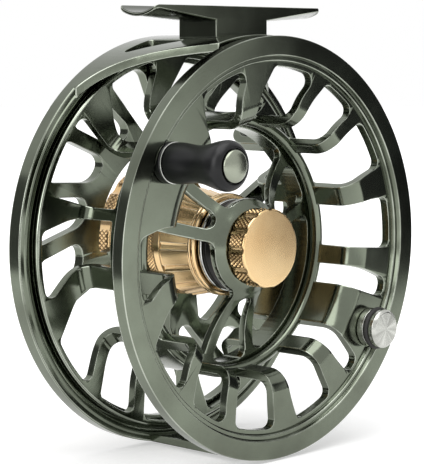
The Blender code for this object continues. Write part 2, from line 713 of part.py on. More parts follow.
# Discs inside the cup: the rotor on its sleeve between two friction discs, and the plate.
rotor_profile = [
    (SPINDLE_RADIUS + RUN, HOUSING_FRONT),
    (SLEEVE_RADIUS, HOUSING_FRONT),
    (SLEEVE_RADIUS, ROTOR_FRONT),
    (DISC_RADIUS, ROTOR_FRONT),
    (DISC_RADIUS, ROTOR_BACK),
    (SPINDLE_RADIUS + RUN, ROTOR_BACK),
]
turned_part("clutch_rotor", rotor_profile, KNOB_STEPS, STEEL)
front_disc = tube(SLEEVE_RADIUS + SEAT, DISC_RADIUS, FRONT_DISC - DISC_THICKNESS, FRONT_DISC)
turned_part("front_friction_disc", front_disc, SMALL_STEPS, CARBON)
rear_disc = tube(SPINDLE_RADIUS + SEAT, DISC_RADIUS, REAR_DISC - DISC_THICKNESS, REAR_DISC)
turned_part("rear_friction_disc", rear_disc, SMALL_STEPS, CARBON)
plate = tube(SPINDLE_RADIUS + RUN, DISC_RADIUS, PRESSURE_BACK, PRESSURE_FRONT)
turned_part("pressure_plate", plate, SMALL_STEPS, STEEL)
spindle_profile = [
    (0, SPINDLE_FRONT),
    (SPINDLE_RADIUS, SPINDLE_FRONT),
    (SPINDLE_RADIUS, DRUM_FLOOR),
    (SPINDLE_ROOT_RADIUS, DRUM_FLOOR),
    (SPINDLE_ROOT_RADIUS, FRAME_BACK),
    (SPINDLE_RADIUS, FRAME_BACK),
    (SPINDLE_RADIUS, NUT_FLOOR + SEAT),
    (0, NUT_FLOOR + SEAT),
]
turned_part("spindle", spindle_profile, SMALL_STEPS, STEEL)

# Frame: turned ring, plate and hub, with the bridge and bar seated on the ring's front.
frame_profile = [
    (RING_INNER, RING_FRONT - RING_LEDGE),
    (RING_INNER + RING_LEDGE_WIDTH, RING_FRONT - RING_LEDGE),
    (RING_INNER + RING_LEDGE_WIDTH, RING_FRONT),
    (FRAME_RADIUS - FRAME_EDGE, RING_FRONT),
    (FRAME_RADIUS, RING_FRONT - FRAME_EDGE),
    (FRAME_RADIUS, FRAME_BACK + FRAME_EDGE),
    (FRAME_RADIUS - FRAME_EDGE, FRAME_BACK),
    (ROOT_BORE, FRAME_BACK),
    (ROOT_BORE, HUB_FACE),
    (FRAME_HUB_RADIUS, HUB_FACE),
    (FRAME_RING_INNER, PLATE_FRONT),
    (RING_INNER, PLATE_FRONT),
]
frame = turned_part("frame", frame_profile, FRAME_STEPS, OLIVE)

shell = tube(BRIDGE_INNER, BRIDGE_RADIUS, BRIDGE_BACK, BRIDGE_FRONT)
pad = tube(PAD_INNER, BRIDGE_INNER + SEAT, FOOT_CENTRE - PAD_LENGTH / 2, FOOT_CENTRE + PAD_LENGTH / 2)


def bridge_edge():
    """The bridge's right edge in plan, from the ring forward, as a hollow sweep."""
    back = Vector((BRIDGE_BACK_HALF, RING_FRONT))
    front = Vector((BRIDGE_FRONT_HALF, BRIDGE_FRONT))
    chord = front - back
    across = Vector((chord.y, -chord.x)).normalized()
    centre = (back + front) / 2 + across * math.sqrt(BRIDGE_SWEEP**2 - chord.length_squared / 4)
    return short_arc(centre, BRIDGE_SWEEP, back - centre, front - centre, 6)


def mirrored(points):
    return [(-x, y) for x, y in points[::-1]]


past = [(BRIDGE_FRONT_HALF, BRIDGE_FRONT + WALL)]
bridge_plan = bridge_edge() + past
bridge_plan = bridge_plan + mirrored(bridge_plan)
bridge = turned_part("bridge", shell, FRAME_STEPS, OLIVE)
bridge_bounds = prism_mesh("bridge_bounds", [bridge_plan], 0, 2 * FRAME_RADIUS, True)
combine(bridge, add_cutter("bridge_bounds", bridge_bounds), "INTERSECT")

bar_plan = [
    (-BAR_HALF, BRIDGE_BACK - WALL),
    (BAR_HALF, BRIDGE_BACK - WALL),
    (BAR_HALF, BRIDGE_FRONT + WALL),
    (-BAR_HALF, BRIDGE_FRONT + WALL),
]
bar = turned_part("bottom_bar", shell, FRAME_STEPS, OLIVE)
bar_bounds = prism_mesh("bar_bounds", [bar_plan], -2 * FRAME_RADIUS, 0, True)
combine(bar, add_cutter("bar_bounds", bar_bounds), "INTERSECT")

foot_pad = turned_cutter("foot_pad", pad, FRAME_STEPS)
pad_bounds = prism_mesh("pad_bounds", [bar_plan], 0, 2 * FRAME_RADIUS, True)
combine(foot_pad, add_cutter("pad_bounds", pad_bounds), "INTERSECT")
combine(bridge, foot_pad, "UNION")

frame_pitch = 2 * math.pi / FRAME_WINDOWS
frame_radii = (FRAME_WINDOW_INNER, FRAME_WINDOW_OUTER)
frame_halves = (FRAME_SPOKE_WIDTH / 2, FRAME_SPOKE_WIDTH / 2)
frame_root = round_root(FRAME_WINDOW_INNER, frame_pitch / 2, FRAME_SPOKE_WIDTH / 2)
frame_windows = []
for index in range(FRAME_WINDOWS):
    angles = (index * frame_pitch, (index + 1) * frame_pitch)
    frame_windows.append(window_outline(angles, frame_radii, frame_halves, (frame_root, FRAME_WINDOW_CORNER)))
hub_radii = (FRAME_HUB_RADIUS + SEAT, FRAME_RING_INNER)
hub_halves = (FRAME_ARM_WIDTH / 2, FRAME_ARM_WIDTH / 2)
hub_corners = (FRAME_HUB_CORNER, FRAME_ARM_CORNER)
for index in range(ARM_PAIRS):
    angles = (ARM_ANGLE + index * ARM_PITCH, ARM_ANGLE + (index + 1) * ARM_PITCH)
    frame_windows.append(window_outline(angles, hub_radii, hub_halves, hub_corners, 6))
openings = prism_mesh("frame_windows", frame_windows, FRAME_BACK - WALL, HUB_FACE + WALL)
combine(frame, add_cutter("frame_windows", openings))

pocket_back = RING_FRONT + POCKET_SETBACK
pocket_corners = [
    (POCKET_INNER, pocket_back),
    (POCKET_INNER + POCKET_WIDTH, pocket_back),
    (POCKET_INNER, pocket_back + POCKET_LENGTH),
]
pocket = rounded(pocket_corners, POCKET_CORNER)
pockets = prism_mesh("bridge_pockets", [pocket, mirrored(pocket)], 0, 2 * FRAME_RADIUS, True)
combine(bridge, add_cutter("bridge_pockets", pockets))


def pedestal_plan(margin):
    side = PEDESTAL_HALF + margin
    back = FOOT_CENTRE - FOOT_WIDTH / 2 - margin
    front = FOOT_CENTRE + FOOT_WIDTH / 2 + margin
    return [(-side, back), (side, back), (side, front), (-side, front)]


foot_seat = prism_mesh("foot_seat", [pedestal_plan(SEAT)], SEAT_HEIGHT, 2 * FRAME_RADIUS, True)
combine(bridge, add_cutter("foot_seat", foot_seat))


def pin_outlines(radius):
    pitch = 2 * math.pi / PIN_COUNT
    return [circle(polar(PIN_CIRCLE, ARM_ANGLE + index * pitch), radius, 8) for index in range(PIN_COUNT)]


pin_bores = prism_mesh("pin_holes", pin_outlines(PIN_BORE), FRAME_BACK - WALL, DRUM_FRONT)
pin_holes = add_cutter("pin_holes", pin_bores)
for held in (frame, collar, drum):
    combine(held, pin_holes)
for index, outline in enumerate(pin_outlines(PIN_RADIUS)):
    name = f"push_pin_{index + 1}"
    add_part(name, prism_mesh(name, [outline], FRAME_BACK, PRESSURE_BACK - SEAT), STEEL)


# Saddle foot: a loft along its length, thick over the pedestal and thin at the tips.
def foot_section(half_width, thickness, edge_rise):
    """One cross-section: the hollow top from front to back, then the rounded underside."""
    top = []
    under = []
    for step in range(SADDLE_SEGMENTS + 1):
        share = 2 * step / SADDLE_SEGMENTS - 1
        across = share * half_width
        hollow = FOOT_SADDLE_RADIUS - math.sqrt(FOOT_SADDLE_RADIUS**2 - across**2)
        top.append((FOOT_CENTRE + across, SADDLE_HEIGHT + hollow))
        under.append((FOOT_CENTRE + across, SADDLE_HEIGHT - thickness + edge_rise * share**2))
    return top + under[::-1]


half_width = FOOT_WIDTH / 2
thick_rise = SADDLE_DROP + FOOT_THICKNESS - FOOT_EDGE_THICKNESS
tip_rise = SADDLE_DROP - FOOT_TIP_THICKNESS / 4
half_length = FOOT_LENGTH / 2
end_width = half_width - FOOT_TIP_ROUND
end_rise = tip_rise * (end_width / half_width) ** 2
stations = [
    (-half_length, end_width, FOOT_TIP_THICKNESS, end_rise),
    (-half_length + FOOT_TIP_ROUND, half_width, FOOT_TIP_THICKNESS, tip_rise),
    (-PEDESTAL_HALF, half_width, FOOT_THICKNESS, thick_rise),
    (PEDESTAL_HALF, half_width, FOOT_THICKNESS, thick_rise),
    (half_length - FOOT_TIP_ROUND, half_width, FOOT_TIP_THICKNESS, tip_rise),
    (half_length, end_width, FOOT_TIP_THICKNESS, end_rise),
]
bm = bmesh.new()
rings = []
for x, width, thickness, rise in stations:
    rings.append([bm.verts.new((x, up, along)) for along, up in foot_section(width, thickness, rise)])
for first, second in zip(rings, rings[1:]):
    count = len(first)
    for corner in range(count):
        following = (corner + 1) % count
        bm.faces.new((first[corner], first[following], second[following], second[corner]))
bm.faces.new(rings[0][::-1])
bm.faces.new(rings[-1])
bmesh.ops.recalc_face_normals(bm, faces=bm.faces)
foot = add_part("reel_foot", finished("reel_foot", bm), OLIVE)
pedestal_top = SADDLE_HEIGHT - FOOT_THICKNESS / 2
pedestal = prism_mesh("pedestal", [pedestal_plan(0)], PEDESTAL_BASE, pedestal_top, True)
combine(foot, add_cutter("pedestal", pedestal), "UNION")

screw_foot = PAD_INNER - SEAT


def screw_axis(side):
    return side * SCREW_SPACING / 2, FOOT_CENTRE


def screw_outline(side, radius):
    return circle(screw_axis(side), radius, 12)


shank_top = screw_foot + SCREW_LENGTH
shank_holes = [screw_outline(side, SCREW_RADIUS + RUN) for side in (-1, 1)]
head_holes = [screw_outline(side, SCREW_HEAD_RADIUS + SEAT) for side in (-1, 1)]
head_top = screw_foot + SCREW_HEAD_DEPTH
hole_top = shank_top + SEAT
holes = add_cutter("foot_screw_holes", prism_mesh("foot_screw_holes", shank_holes, 0, hole_top, True))
heads = add_cutter("foot_screw_heads", prism_mesh("foot_screw_heads", head_holes, 0, head_top + SEAT, True))
combine(foot, holes)
combine(bridge, holes)
combine(bridge, heads)
for side, name in ((-1, "foot_screw_left"), (1, "foot_screw_right")):
    screw_head = prism_mesh(name, [screw_outline(side, SCREW_HEAD_RADIUS)], screw_foot, head_top, True)
    screw = add_part(name, screw_head, STEEL)
    shank = prism_mesh(name + "_shank", [screw_outline(side, SCREW_RADIUS)], head_top - SEAT, shank_top, True)
    combine(screw, add_cutter(name + "_shank", shank), "UNION")

# Crank handle on its stud, with a base and a washer under it and a domed cap on its end.
stud_end = HANDLE_FRONT - END_CAP_DOME
stud_profile = [
    (0, stud_end),
    (STUD_RADIUS, stud_end),
    (STUD_RADIUS, FRONT_REACH - SEAT),
    (STUD_HEAD_RADIUS, FRONT_REACH - SEAT),
    (STUD_HEAD_RADIUS, FRONT_REACH - SEAT - STUD_HEAD_DEPTH),
    (0, FRONT_REACH - SEAT - STUD_HEAD_DEPTH),
]
turned_part("handle_stud", stud_profile, SMALL_STEPS, STEEL, handle_axis)
base = tube(STUD_RADIUS + SEAT, BASE_RADIUS, FLANGE_FRONT + SEAT, BASE_FRONT)
turned_part("handle_base", base, SMALL_STEPS, BLACK, handle_axis)
washer = tube(STUD_RADIUS + SEAT, BASE_RADIUS, WASHER_BACK, WASHER_FRONT)
turned_part("handle_washer", washer, SMALL_STEPS, SILVER, handle_axis)
cap_seat = END_CAP_RADIUS + SEAT
bore = STUD_RADIUS + RUN


def handle_outline():
    """The barrel's side from front to back: a rounded bead, a long waist and a narrower root."""
    bead = HANDLE_LENGTH / 8
    side = arc((HANDLE_RADIUS - bead, HANDLE_FRONT - bead), bead, math.pi / 2, 0, 4)
    waist_front = HANDLE_FRONT - bead
    for step in range(1, 7):
        share = step / 6
        pinch = HANDLE_TAPER * share + HANDLE_WAIST * math.sin(math.pi * share) ** 2
        side.append((HANDLE_RADIUS - pinch, waist_front - (HANDLE_LENGTH - bead) * share))
    return side


seat_floor = stud_end + SEAT
handle_profile = [(bore, HANDLE_BACK), (bore, seat_floor), (cap_seat, seat_floor), (cap_seat, HANDLE_FRONT)]
handle_side = [point for point in handle_outline() if point[0] > cap_seat + SEAT]
turned_part("handle_knob", handle_profile + handle_side, SMALL_STEPS, BLACK, handle_axis)
end_cap = [
    (0, HANDLE_FRONT + END_CAP_DOME),
    (END_CAP_RADIUS / 2, HANDLE_FRONT + END_CAP_DOME * 0.75),
    (END_CAP_RADIUS, HANDLE_FRONT),
    (END_CAP_RADIUS, seat_floor + SEAT),
    (0, seat_floor + SEAT),
]
turned_part("handle_end_cap", end_cap, SMALL_STEPS, SILVER, handle_axis)

# Counterweight with a rubber ring round its waist, screwed on from inside the flange.
groove_middle = (BALANCE_BACK + BALANCE_FRONT) / 2
groove_radius = BALANCE_RADIUS - BALANCE_GROOVE / 2
thread_top = FLANGE_FRONT + SCREW_LENGTH - WALL
balance_profile = [
    (0, BALANCE_FRONT),
    (BALANCE_RADIUS - BALANCE_EDGE, BALANCE_FRONT),
    (BALANCE_RADIUS, BALANCE_FRONT - BALANCE_EDGE),
    (BALANCE_RADIUS, groove_middle + BALANCE_GROOVE),
    (groove_radius, groove_middle + BALANCE_GROOVE),
    (groove_radius, groove_middle - BALANCE_GROOVE),
    (BALANCE_RADIUS, groove_middle - BALANCE_GROOVE),
    (BALANCE_RADIUS, BALANCE_BACK),
    (SCREW_RADIUS + RUN, BALANCE_BACK),
    (SCREW_RADIUS + RUN, thread_top + SEAT),
    (0, thread_top + SEAT),
]
turned_part("counterweight", balance_profile, SMALL_STEPS, SILVER, balance_axis)
ring_half = BALANCE_GROOVE - SEAT
ring_back = groove_middle - ring_half
ring_radius = BALANCE_RADIUS + BALANCE_RING_PROUD
balance_ring = tube(groove_radius + SEAT / 2, ring_radius, ring_back, groove_middle + ring_half)
turned_part("counterweight_ring", balance_ring, SMALL_STEPS, BLACK, balance_axis)
balance_screw = [
    (0, thread_top),
    (SCREW_RADIUS, thread_top),
    (SCREW_RADIUS, FRONT_REACH - SEAT),
    (SCREW_HEAD_RADIUS, FRONT_REACH - SEAT),
    (SCREW_HEAD_RADIUS, FRONT_REACH - SEAT - SCREW_HEAD_DEPTH),
    (0, FRONT_REACH - SEAT - SCREW_HEAD_DEPTH),
]
turned_part("counterweight_screw", balance_screw, SMALL_STEPS, STEEL, balance_axis)

# Drag knob behind the plate, dished round the nut that keeps it on the spindle.
knob_profile = [
    (SPINDLE_RADIUS + RUN, KNOB_FRONT),
    (KNOB_RADIUS - KNOB_EDGE, KNOB_FRONT),
    (KNOB_RADIUS, KNOB_FRONT - KNOB_EDGE),
    (KNOB_RADIUS, KNOB_BACK + KNOB_EDGE),
    (KNOB_RADIUS - KNOB_EDGE, KNOB_BACK),
    (KNOB_DISH_RADIUS, KNOB_BACK),
    (KNOB_DISH_RADIUS - KNOB_DISH, KNOB_BACK + KNOB_DISH),
    (SPINDLE_RADIUS + RUN, KNOB_BACK + KNOB_DISH),
]
knob = turned_part("drag_knob", knob_profile, KNOB_STEPS, GOLD)
knob_grip = KNOB_RADIUS - KNOB_SCALLOP_DEPTH
knob_reach = (KNOB_BACK - WALL, KNOB_FRONT - KNOB_EDGE - SEAT)
combine(knob, scallops("knob_scallops", knob_grip, KNOB_SCALLOP_RADIUS, KNOB_SCALLOPS, knob_reach))
nut_profile = [
    (0, NUT_BACK),
    (NUT_RADIUS - KNOB_EDGE, NUT_BACK),
    (NUT_RADIUS, NUT_BACK + KNOB_EDGE),
    (NUT_RADIUS, NUT_FRONT),
    (SPINDLE_RADIUS + RUN, NUT_FRONT),
    (SPINDLE_RADIUS + RUN, NUT_FLOOR),
    (0, NUT_FLOOR),
]
turned_part("spindle_nut", nut_profile, SMALL_STEPS, STEEL)

# Each piece keeps its finished shape as a plain mesh, smooth round its curves.
bpy.context.view_layer.update()
graph = bpy.context.evaluated_depsgraph_get()
pieces = [piece for piece in parts.objects if piece.type == "MESH"]
shapes = [bpy.data.meshes.new_from_object(piece.evaluated_get(graph)) for piece in pieces]
for piece, shape in zip(pieces, shapes):
    piece.modifiers.clear()
    piece.data = shape
    shape.name = piece.name
    shape.shade_smooth()
    shape.set_sharp_from_angle(angle=SMOOTH_ANGLE)
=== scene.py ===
import json
import math

import bmesh
import bpy
from mathutils import Matrix, Vector


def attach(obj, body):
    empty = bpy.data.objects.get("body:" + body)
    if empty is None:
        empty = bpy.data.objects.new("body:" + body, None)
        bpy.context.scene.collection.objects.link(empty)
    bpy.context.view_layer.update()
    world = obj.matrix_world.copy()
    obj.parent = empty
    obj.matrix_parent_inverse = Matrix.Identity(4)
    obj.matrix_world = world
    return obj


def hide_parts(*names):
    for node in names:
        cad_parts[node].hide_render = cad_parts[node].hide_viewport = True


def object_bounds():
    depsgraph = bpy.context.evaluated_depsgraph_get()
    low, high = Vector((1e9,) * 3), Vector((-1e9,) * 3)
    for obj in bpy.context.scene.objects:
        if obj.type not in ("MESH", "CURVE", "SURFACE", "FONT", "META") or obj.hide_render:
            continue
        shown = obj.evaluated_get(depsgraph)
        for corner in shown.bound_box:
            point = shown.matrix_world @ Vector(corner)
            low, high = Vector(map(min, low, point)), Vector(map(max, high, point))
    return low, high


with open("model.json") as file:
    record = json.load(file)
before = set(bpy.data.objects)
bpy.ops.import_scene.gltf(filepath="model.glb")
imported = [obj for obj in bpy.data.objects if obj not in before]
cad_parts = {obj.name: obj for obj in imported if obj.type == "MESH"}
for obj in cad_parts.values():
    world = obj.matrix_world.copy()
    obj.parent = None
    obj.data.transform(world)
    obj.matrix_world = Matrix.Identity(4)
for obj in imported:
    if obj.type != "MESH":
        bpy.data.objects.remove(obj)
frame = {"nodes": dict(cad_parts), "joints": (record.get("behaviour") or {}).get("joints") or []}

cad_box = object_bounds()
joints = {joint["name"]: joint for joint in frame["joints"]}


# Cage: the reel's frame is one aluminium billet, turned to a ring with a plate and hub behind
# it, then milled through for the windows, leaving a bridge under the foot and a bar below.
# It is tumbled to break its edges, and anodised olive.
spin_height = joints["spool_spin"]["pos_m"][2]
# Shapes are drawn in millimetres round the Z axis, then scaled and turned to the reel's own axis.
metre, station_zero = 1000, 0.001
stand_upright = Matrix.Rotation(math.radians(90), 4, "X")
in_reel = Matrix.Translation((0, station_zero, spin_height)) @ stand_upright @ Matrix.Scale(1 / metre, 4)


def polar(radius, angle):
    return Vector((radius * math.cos(angle), radius * math.sin(angle)))


def spaced(first, last, count):
    """Numbers in even steps from the first to the last, both included."""
    return [first + (last - first) * step / count for step in range(count + 1)]


def arc(centre, radius, start, end, segments):
    """Points on a circle from one angle to another, both ends included."""
    return [tuple(Vector(centre) + polar(radius, angle)) for angle in spaced(start, end, segments)]


def circle(centre, radius, segments):
    """Points once round a circle."""
    return arc(centre, radius, 0, math.tau, segments)[:-1]


def short_arc(centre, radius, first, last, segments):
    """Points on a circle the short way round between the directions of two vectors."""
    start = math.atan2(first[1], first[0])
    swing = math.atan2(last[1], last[0]) - start
    swing = (swing + math.pi) % math.tau - math.pi
    return arc(centre, radius, start, start + swing, segments)


def turned(profile, steps):
    """A profile of (radius, station) points in millimetres, spun round the reel's axis."""
    bm = bmesh.new()
    line = [bm.verts.new((radius, 0, station)) for radius, station in profile]
    edges = [bm.edges.new(pair) for pair in zip(line, line[1:])]
    if profile[0][0] > 0:
        edges.append(bm.edges.new((line[-1], line[0])))
    bmesh.ops.spin(
        bm, geom=line + edges, cent=(0, 0, 0), axis=(0, 0, 1), angle=math.tau, steps=steps, use_merge=True
    )
    bmesh.ops.remove_doubles(bm, verts=bm.verts, dist=0.0001)
    bmesh.ops.recalc_face_normals(bm, faces=bm.faces)
    return bm


def pulled(outlines, low, high, upright=False):
    """Flat outlines pulled straight through: along the axis, or upward where upright is set."""
    bm = bmesh.new()
    pull = Vector((0, high - low, 0)) if upright else Vector((0, 0, high - low))
    for outline in outlines:
        corners = [bm.verts.new((x, low, y) if upright else (x, y, low)) for x, y in outline]
        floor = bm.faces.new(corners)
        walls = bmesh.ops.extrude_face_region(bm, geom=[floor], use_keep_orig=True)
        raised = [item for item in walls["geom"] if isinstance(item, bmesh.types.BMVert)]
        bmesh.ops.translate(bm, verts=raised, vec=pull)
    bmesh.ops.recalc_face_normals(bm, faces=bm.faces)
    return bm


def combined(body, other, operation):
    """One shape cut from, joined to or kept within another."""
    blanks = []
    for shape in (body, other):
        mesh = bpy.data.meshes.new("blank")
        shape.to_mesh(mesh)
        shape.free()
        blanks.append(bpy.data.objects.new("blank", mesh))
        bpy.context.scene.collection.objects.link(blanks[-1])
    boolean = blanks[0].modifiers.new("cut", "BOOLEAN")
    boolean.operation = operation
    boolean.solver = "EXACT"
    boolean.object = blanks[1]
    result = bmesh.new()
    result.from_object(blanks[0], bpy.context.evaluated_depsgraph_get())
    for blank in blanks:
        bpy.data.meshes.remove(blank.data)
    return result


def corner_arc(limit, outward, spoke, half, corner):
    """The rounded corner between a window's straight side, half a spoke off the ray at the
    angle spoke, and its round end, as points from the side to the end."""
    reach = limit - corner if outward else limit + corner
    across = abs(half) + corner
    ray = polar(1, spoke)
    aside = Vector((-ray.y, ray.x)) * math.copysign(1, half)
    centre = ray * math.sqrt(reach**2 - across**2) + aside * across
    return short_arc(centre, corner, -aside, centre if outward else -centre, 6)


def window(angles, radii, halves, corners, segments=6):
    """A window between two spokes. Each pair gives the first and last spoke's angle, the inner
    and outer radius, half the width of each spoke, and the inner and outer corner."""
    first_out = corner_arc(radii[1], True, angles[0], halves[0], corners[1])
    last_out = corner_arc(radii[1], True, angles[1], -halves[1], corners[1])
    first_in = corner_arc(radii[0], False, angles[0], halves[0], corners[0])
    last_in = corner_arc(radii[0], False, angles[1], -halves[1], corners[0])
    rim = short_arc((0, 0), radii[1], first_out[-1], last_out[-1], segments)[1:-1]
    root = short_arc((0, 0), radii[0], last_in[-1], first_in[-1], segments)[1:-1]
    return first_out + rim + last_out[::-1] + last_in + root + first_in[::-1]


def eased(bm, size, turn=32):
    """Breaks each outward edge sharper than the turn with a small round, and marks the rounds."""
    bmesh.ops.remove_doubles(bm, verts=bm.verts, dist=size / 3)
    bmesh.ops.dissolve_degenerate(bm, edges=bm.edges, dist=0.001)
    flats = [face for face in bm.faces if len(face.verts) > 6]
    bmesh.ops.triangulate(bm, faces=flats, ngon_method="BEAUTY")
    # The rounds are marked so that the finish paints them brighter, partly as wear and partly as a painted
    # highlight.
    mark = bm.faces.layers.float.new("worn_edge_and_highlight")
    limit = math.radians(turn)
    sharp = [edge for edge in bm.edges if edge.is_manifold and edge.calc_face_angle_signed() > limit]
    rounds = bmesh.ops.bevel(
        bm, geom=sharp, offset=size, offset_type="OFFSET", segments=2, profile=0.5, affect="EDGES",
        clamp_overlap=False, material=-1,
    )
    for face in rounds["faces"]:
        face[mark] = 1
    return bm


def fitted(name, bm, finish, place=in_reel):
    """Sets a shape in its place as an object, smooth round its curves and even on its flats."""
    bm.transform(place)
    mesh = bpy.data.meshes.new(name)
    bm.to_mesh(mesh)
    bm.free()
    mesh.materials.append(finish)
    mesh.shade_smooth()
    mesh.set_sharp_from_angle(angle=math.radians(40))
    piece = bpy.data.objects.new(name, mesh)
    bpy.context.scene.collection.objects.link(piece)
    even = piece.modifiers.new("even_flats", "WEIGHTED_NORMAL")
    even.keep_sharp = True
    return piece


def linear(code):
    """An sRGB hex colour as linear light, with full alpha."""
    shares = [int(code[place:place + 2], 16) / 255 for place in (1, 3, 5)]
    return [share / 12.92 if share <= 0.04045 else ((share + 0.055) / 1.055) ** 2.4 for share in shares] + [1]


def add(tree, kind, inputs, **settings):
    """Adds a node with its settings, and gives each input a value or another node's output. A map
    range takes the two ends of both its ranges as inputs 1 to 4, and a mix its colours as 6 and 7."""
    node = tree.nodes.new("ShaderNode" + kind)
    for name, value in settings.items():
        setattr(node, name, value)
    for key, value in inputs.items():
        if isinstance(value, bpy.types.NodeSocket):
            tree.links.new(value, node.inputs[key])
        else:
            node.inputs[key].default_value = value
    return node


def new_finish(name):
    """A new material, its node tree, its shader and the coordinates that its textures lie in."""
    finish = bpy.data.materials.new(name)
    finish.use_nodes = True
    tree = finish.node_tree
    return finish, tree, tree.nodes["Principled BSDF"], add(tree, "TexCoord", {}).outputs["Object"]


def satin_metal(name, shade, tone, edge, rough):
    """A satin metal that keeps the fine grain of the tumbling, drifts a little in tone over a
    centimetre or two, and is painted brighter on its broken edges, partly as bared metal and partly as a
    painted highlight."""
    finish, tree, shader, place = new_finish(name)
    # Tone drifts over about 14 mm. The tumbled grain is near 0.1 mm, drawn here at 0.3 mm.
    drift = add(tree, "TexNoise", {"Vector": place, "Scale": 1 / 0.014, "Detail": 4}).outputs["Fac"]
    grain = add(tree, "TexNoise", {"Vector": place, "Scale": 1 / 0.0003, "Detail": 2}).outputs["Fac"]
    flecks = add(tree, "MapRange", {"Value": grain, 1: 0.25, 2: 0.75, 3: -0.06, 4: 0.06}).outputs[0]
    mixed = add(tree, "Math", {0: drift, 1: flecks}, operation="ADD").outputs[0]
    share = add(tree, "MapRange", {"Value": mixed, 1: 0.3, 2: 0.7}).outputs[0]
    dark, light = linear(shade), linear(tone)
    skin = add(tree, "Mix", {"Factor": share, 6: dark, 7: light}, data_type="RGBA").outputs[2]
    # Painted highlight and wear: the broken edges are painted in the pale edge colour, partly as bare metal
    # and partly as the highlight that the rounds catch.
    worn_and_highlit_edge = add(tree, "Attribute", {}, attribute_name="worn_edge_and_highlight").outputs["Fac"]
    wear_and_highlight_drift = add(tree, "MapRange", {"Value": drift, 1: 0.35, 2: 0.6, 3: 0.1, 4: 0.6}).outputs[0]
    bared_and_highlit_edge = add(tree, "Math", {0: worn_and_highlit_edge, 1: wear_and_highlight_drift}, operation="MULTIPLY").outputs[0]
    colour = add(tree, "Mix", {"Factor": bared_and_highlit_edge, 6: skin, 7: linear(edge)}, data_type="RGBA").outputs[2]
    tree.links.new(colour, shader.inputs["Base Color"])
    least, most = rough - 0.03, rough + 0.03
    shine = add(tree, "MapRange", {"Value": mixed, 1: 0.3, 2: 0.7, 3: least, 4: most}).outputs[0]
    tree.links.new(shine, shader.inputs["Roughness"])
    bump = add(tree, "Bump", {"Strength": 0.02, "Distance": 0.00002, "Height": grain}).outputs["Normal"]
    tree.links.new(bump, shader.inputs["Normal"])
    shader.inputs["Metallic"].default_value = 1.0
    return finish


olive_anodised = satin_metal("olive_anodised_aluminium", "#62675b", "#737a6c", "#c6cbbf", 0.16)

ring_inner, ring_outer, ring_front, plate_back = 47.2, 50.3, -14.8, -19.3
plate_front, hub_face, bore = -16.4, -13.5, 4.05
boss_top, boss_foot = 14.0, 22.0
inner_ledge, outer_ledge, front_chamfer, back_chamfer = 0.5, 0.4, 0.2, 0.4
# The ring's front is a rounded ridge between two ledges, given as radius and drop from the front.
ridge = ((47.8, inner_ledge), (47.9, 0.25), (48.1, 0.08), (48.4, 0))
ridge += ((48.7, 0.08), (48.9, 0.25), (49.0, outer_ledge))
cage_steps = 180
billet = turned(
    [(ring_inner, ring_front - inner_ledge)]
    + [(radius, ring_front - drop) for radius, drop in ridge]
    + [
        (ring_outer - front_chamfer, ring_front - outer_ledge),
        (ring_outer, ring_front - outer_ledge - front_chamfer),
        (ring_outer, plate_back + back_chamfer),
        (ring_outer - back_chamfer, plate_back),
        (bore, plate_back),
        (bore, hub_face),
        (boss_top, hub_face),
        (boss_foot, plate_front),
        (ring_inner, plate_front),
    ],
    cage_steps,
)


def shell(inner, outer, back, front):
    """A plain tube round the reel's axis."""
    return turned([(inner, front), (outer, front), (outer, back), (inner, back)], cage_steps)


def rectangle(half_width, low, high):
    """A rectangle that is even on both sides of the middle."""
    return [(-half_width, low), (half_width, low), (half_width, high), (-half_width, high)]


def mirrored(points):
    """The same outline on the other side of the middle."""
    return [(-x, y) for x, y in points[::-1]]


def curved(start, lean, end, segments):
    """Points on a smooth curve that leaves the start toward the lean point and comes from it."""
    first, middle, last = Vector(start), Vector(lean), Vector(end)
    shares = spaced(0, 1, segments)
    return [tuple(first * (1 - t) ** 2 + middle * 2 * t * (1 - t) + last * t**2) for t in shares]


# The bridge narrows from the ring to its front in a curve. The bar below and the pad under the
# foot are straight. Each is a slice of a tube, cut to its plan.
bridge_inner, bridge_front, limb_back = 48.4, 13.4, -17
back_half, front_half, bar_half, bridge_lean = 33.0, 14.2, 8.7, (19.5, -9.0)
pad_inner, pad_outer, pad_ends = 47.1, bridge_inner + 0.2, (-8, 10)
plan_back, bridge_plan_front, bar_plan_front, beyond = plate_back - 1, bridge_front + 1, 15, 60
bridge_side = curved((back_half, ring_front), bridge_lean, (front_half, bridge_front), 16)
half_plan = [(back_half, plan_back)] + bridge_side + [(front_half, bridge_plan_front)]
bridge_bounds = pulled([half_plan + mirrored(half_plan)], 0, beyond, True)
bridge = combined(shell(bridge_inner, ring_outer, limb_back, bridge_front), bridge_bounds, "INTERSECT")
bar_plan = rectangle(bar_half, plan_back, bar_plan_front)
bar_shell = shell(bridge_inner, ring_outer, limb_back, bridge_front)
bar = combined(bar_shell, pulled([bar_plan], -beyond, 0, True), "INTERSECT")
pad = combined(shell(pad_inner, pad_outer, *pad_ends), pulled([bar_plan], 0, beyond, True), "INTERSECT")
for limb in (bridge, bar, pad):
    billet = combined(billet, limb, "UNION")

frame_half, frame_rim, frame_hub = (1.9, 1.9), 43.8, 14.2
frame_lean, lean_middle = math.radians(0.56), 36


def leaning(outline):
    """An opening whose sides lean: a point turns round the axis in step with its distance out."""
    points = [Vector(point) for point in outline]
    turns = [Matrix.Rotation(frame_lean * (point.length - lean_middle), 2) for point in points]
    return [tuple(turn @ point) for turn, point in zip(turns, points)]


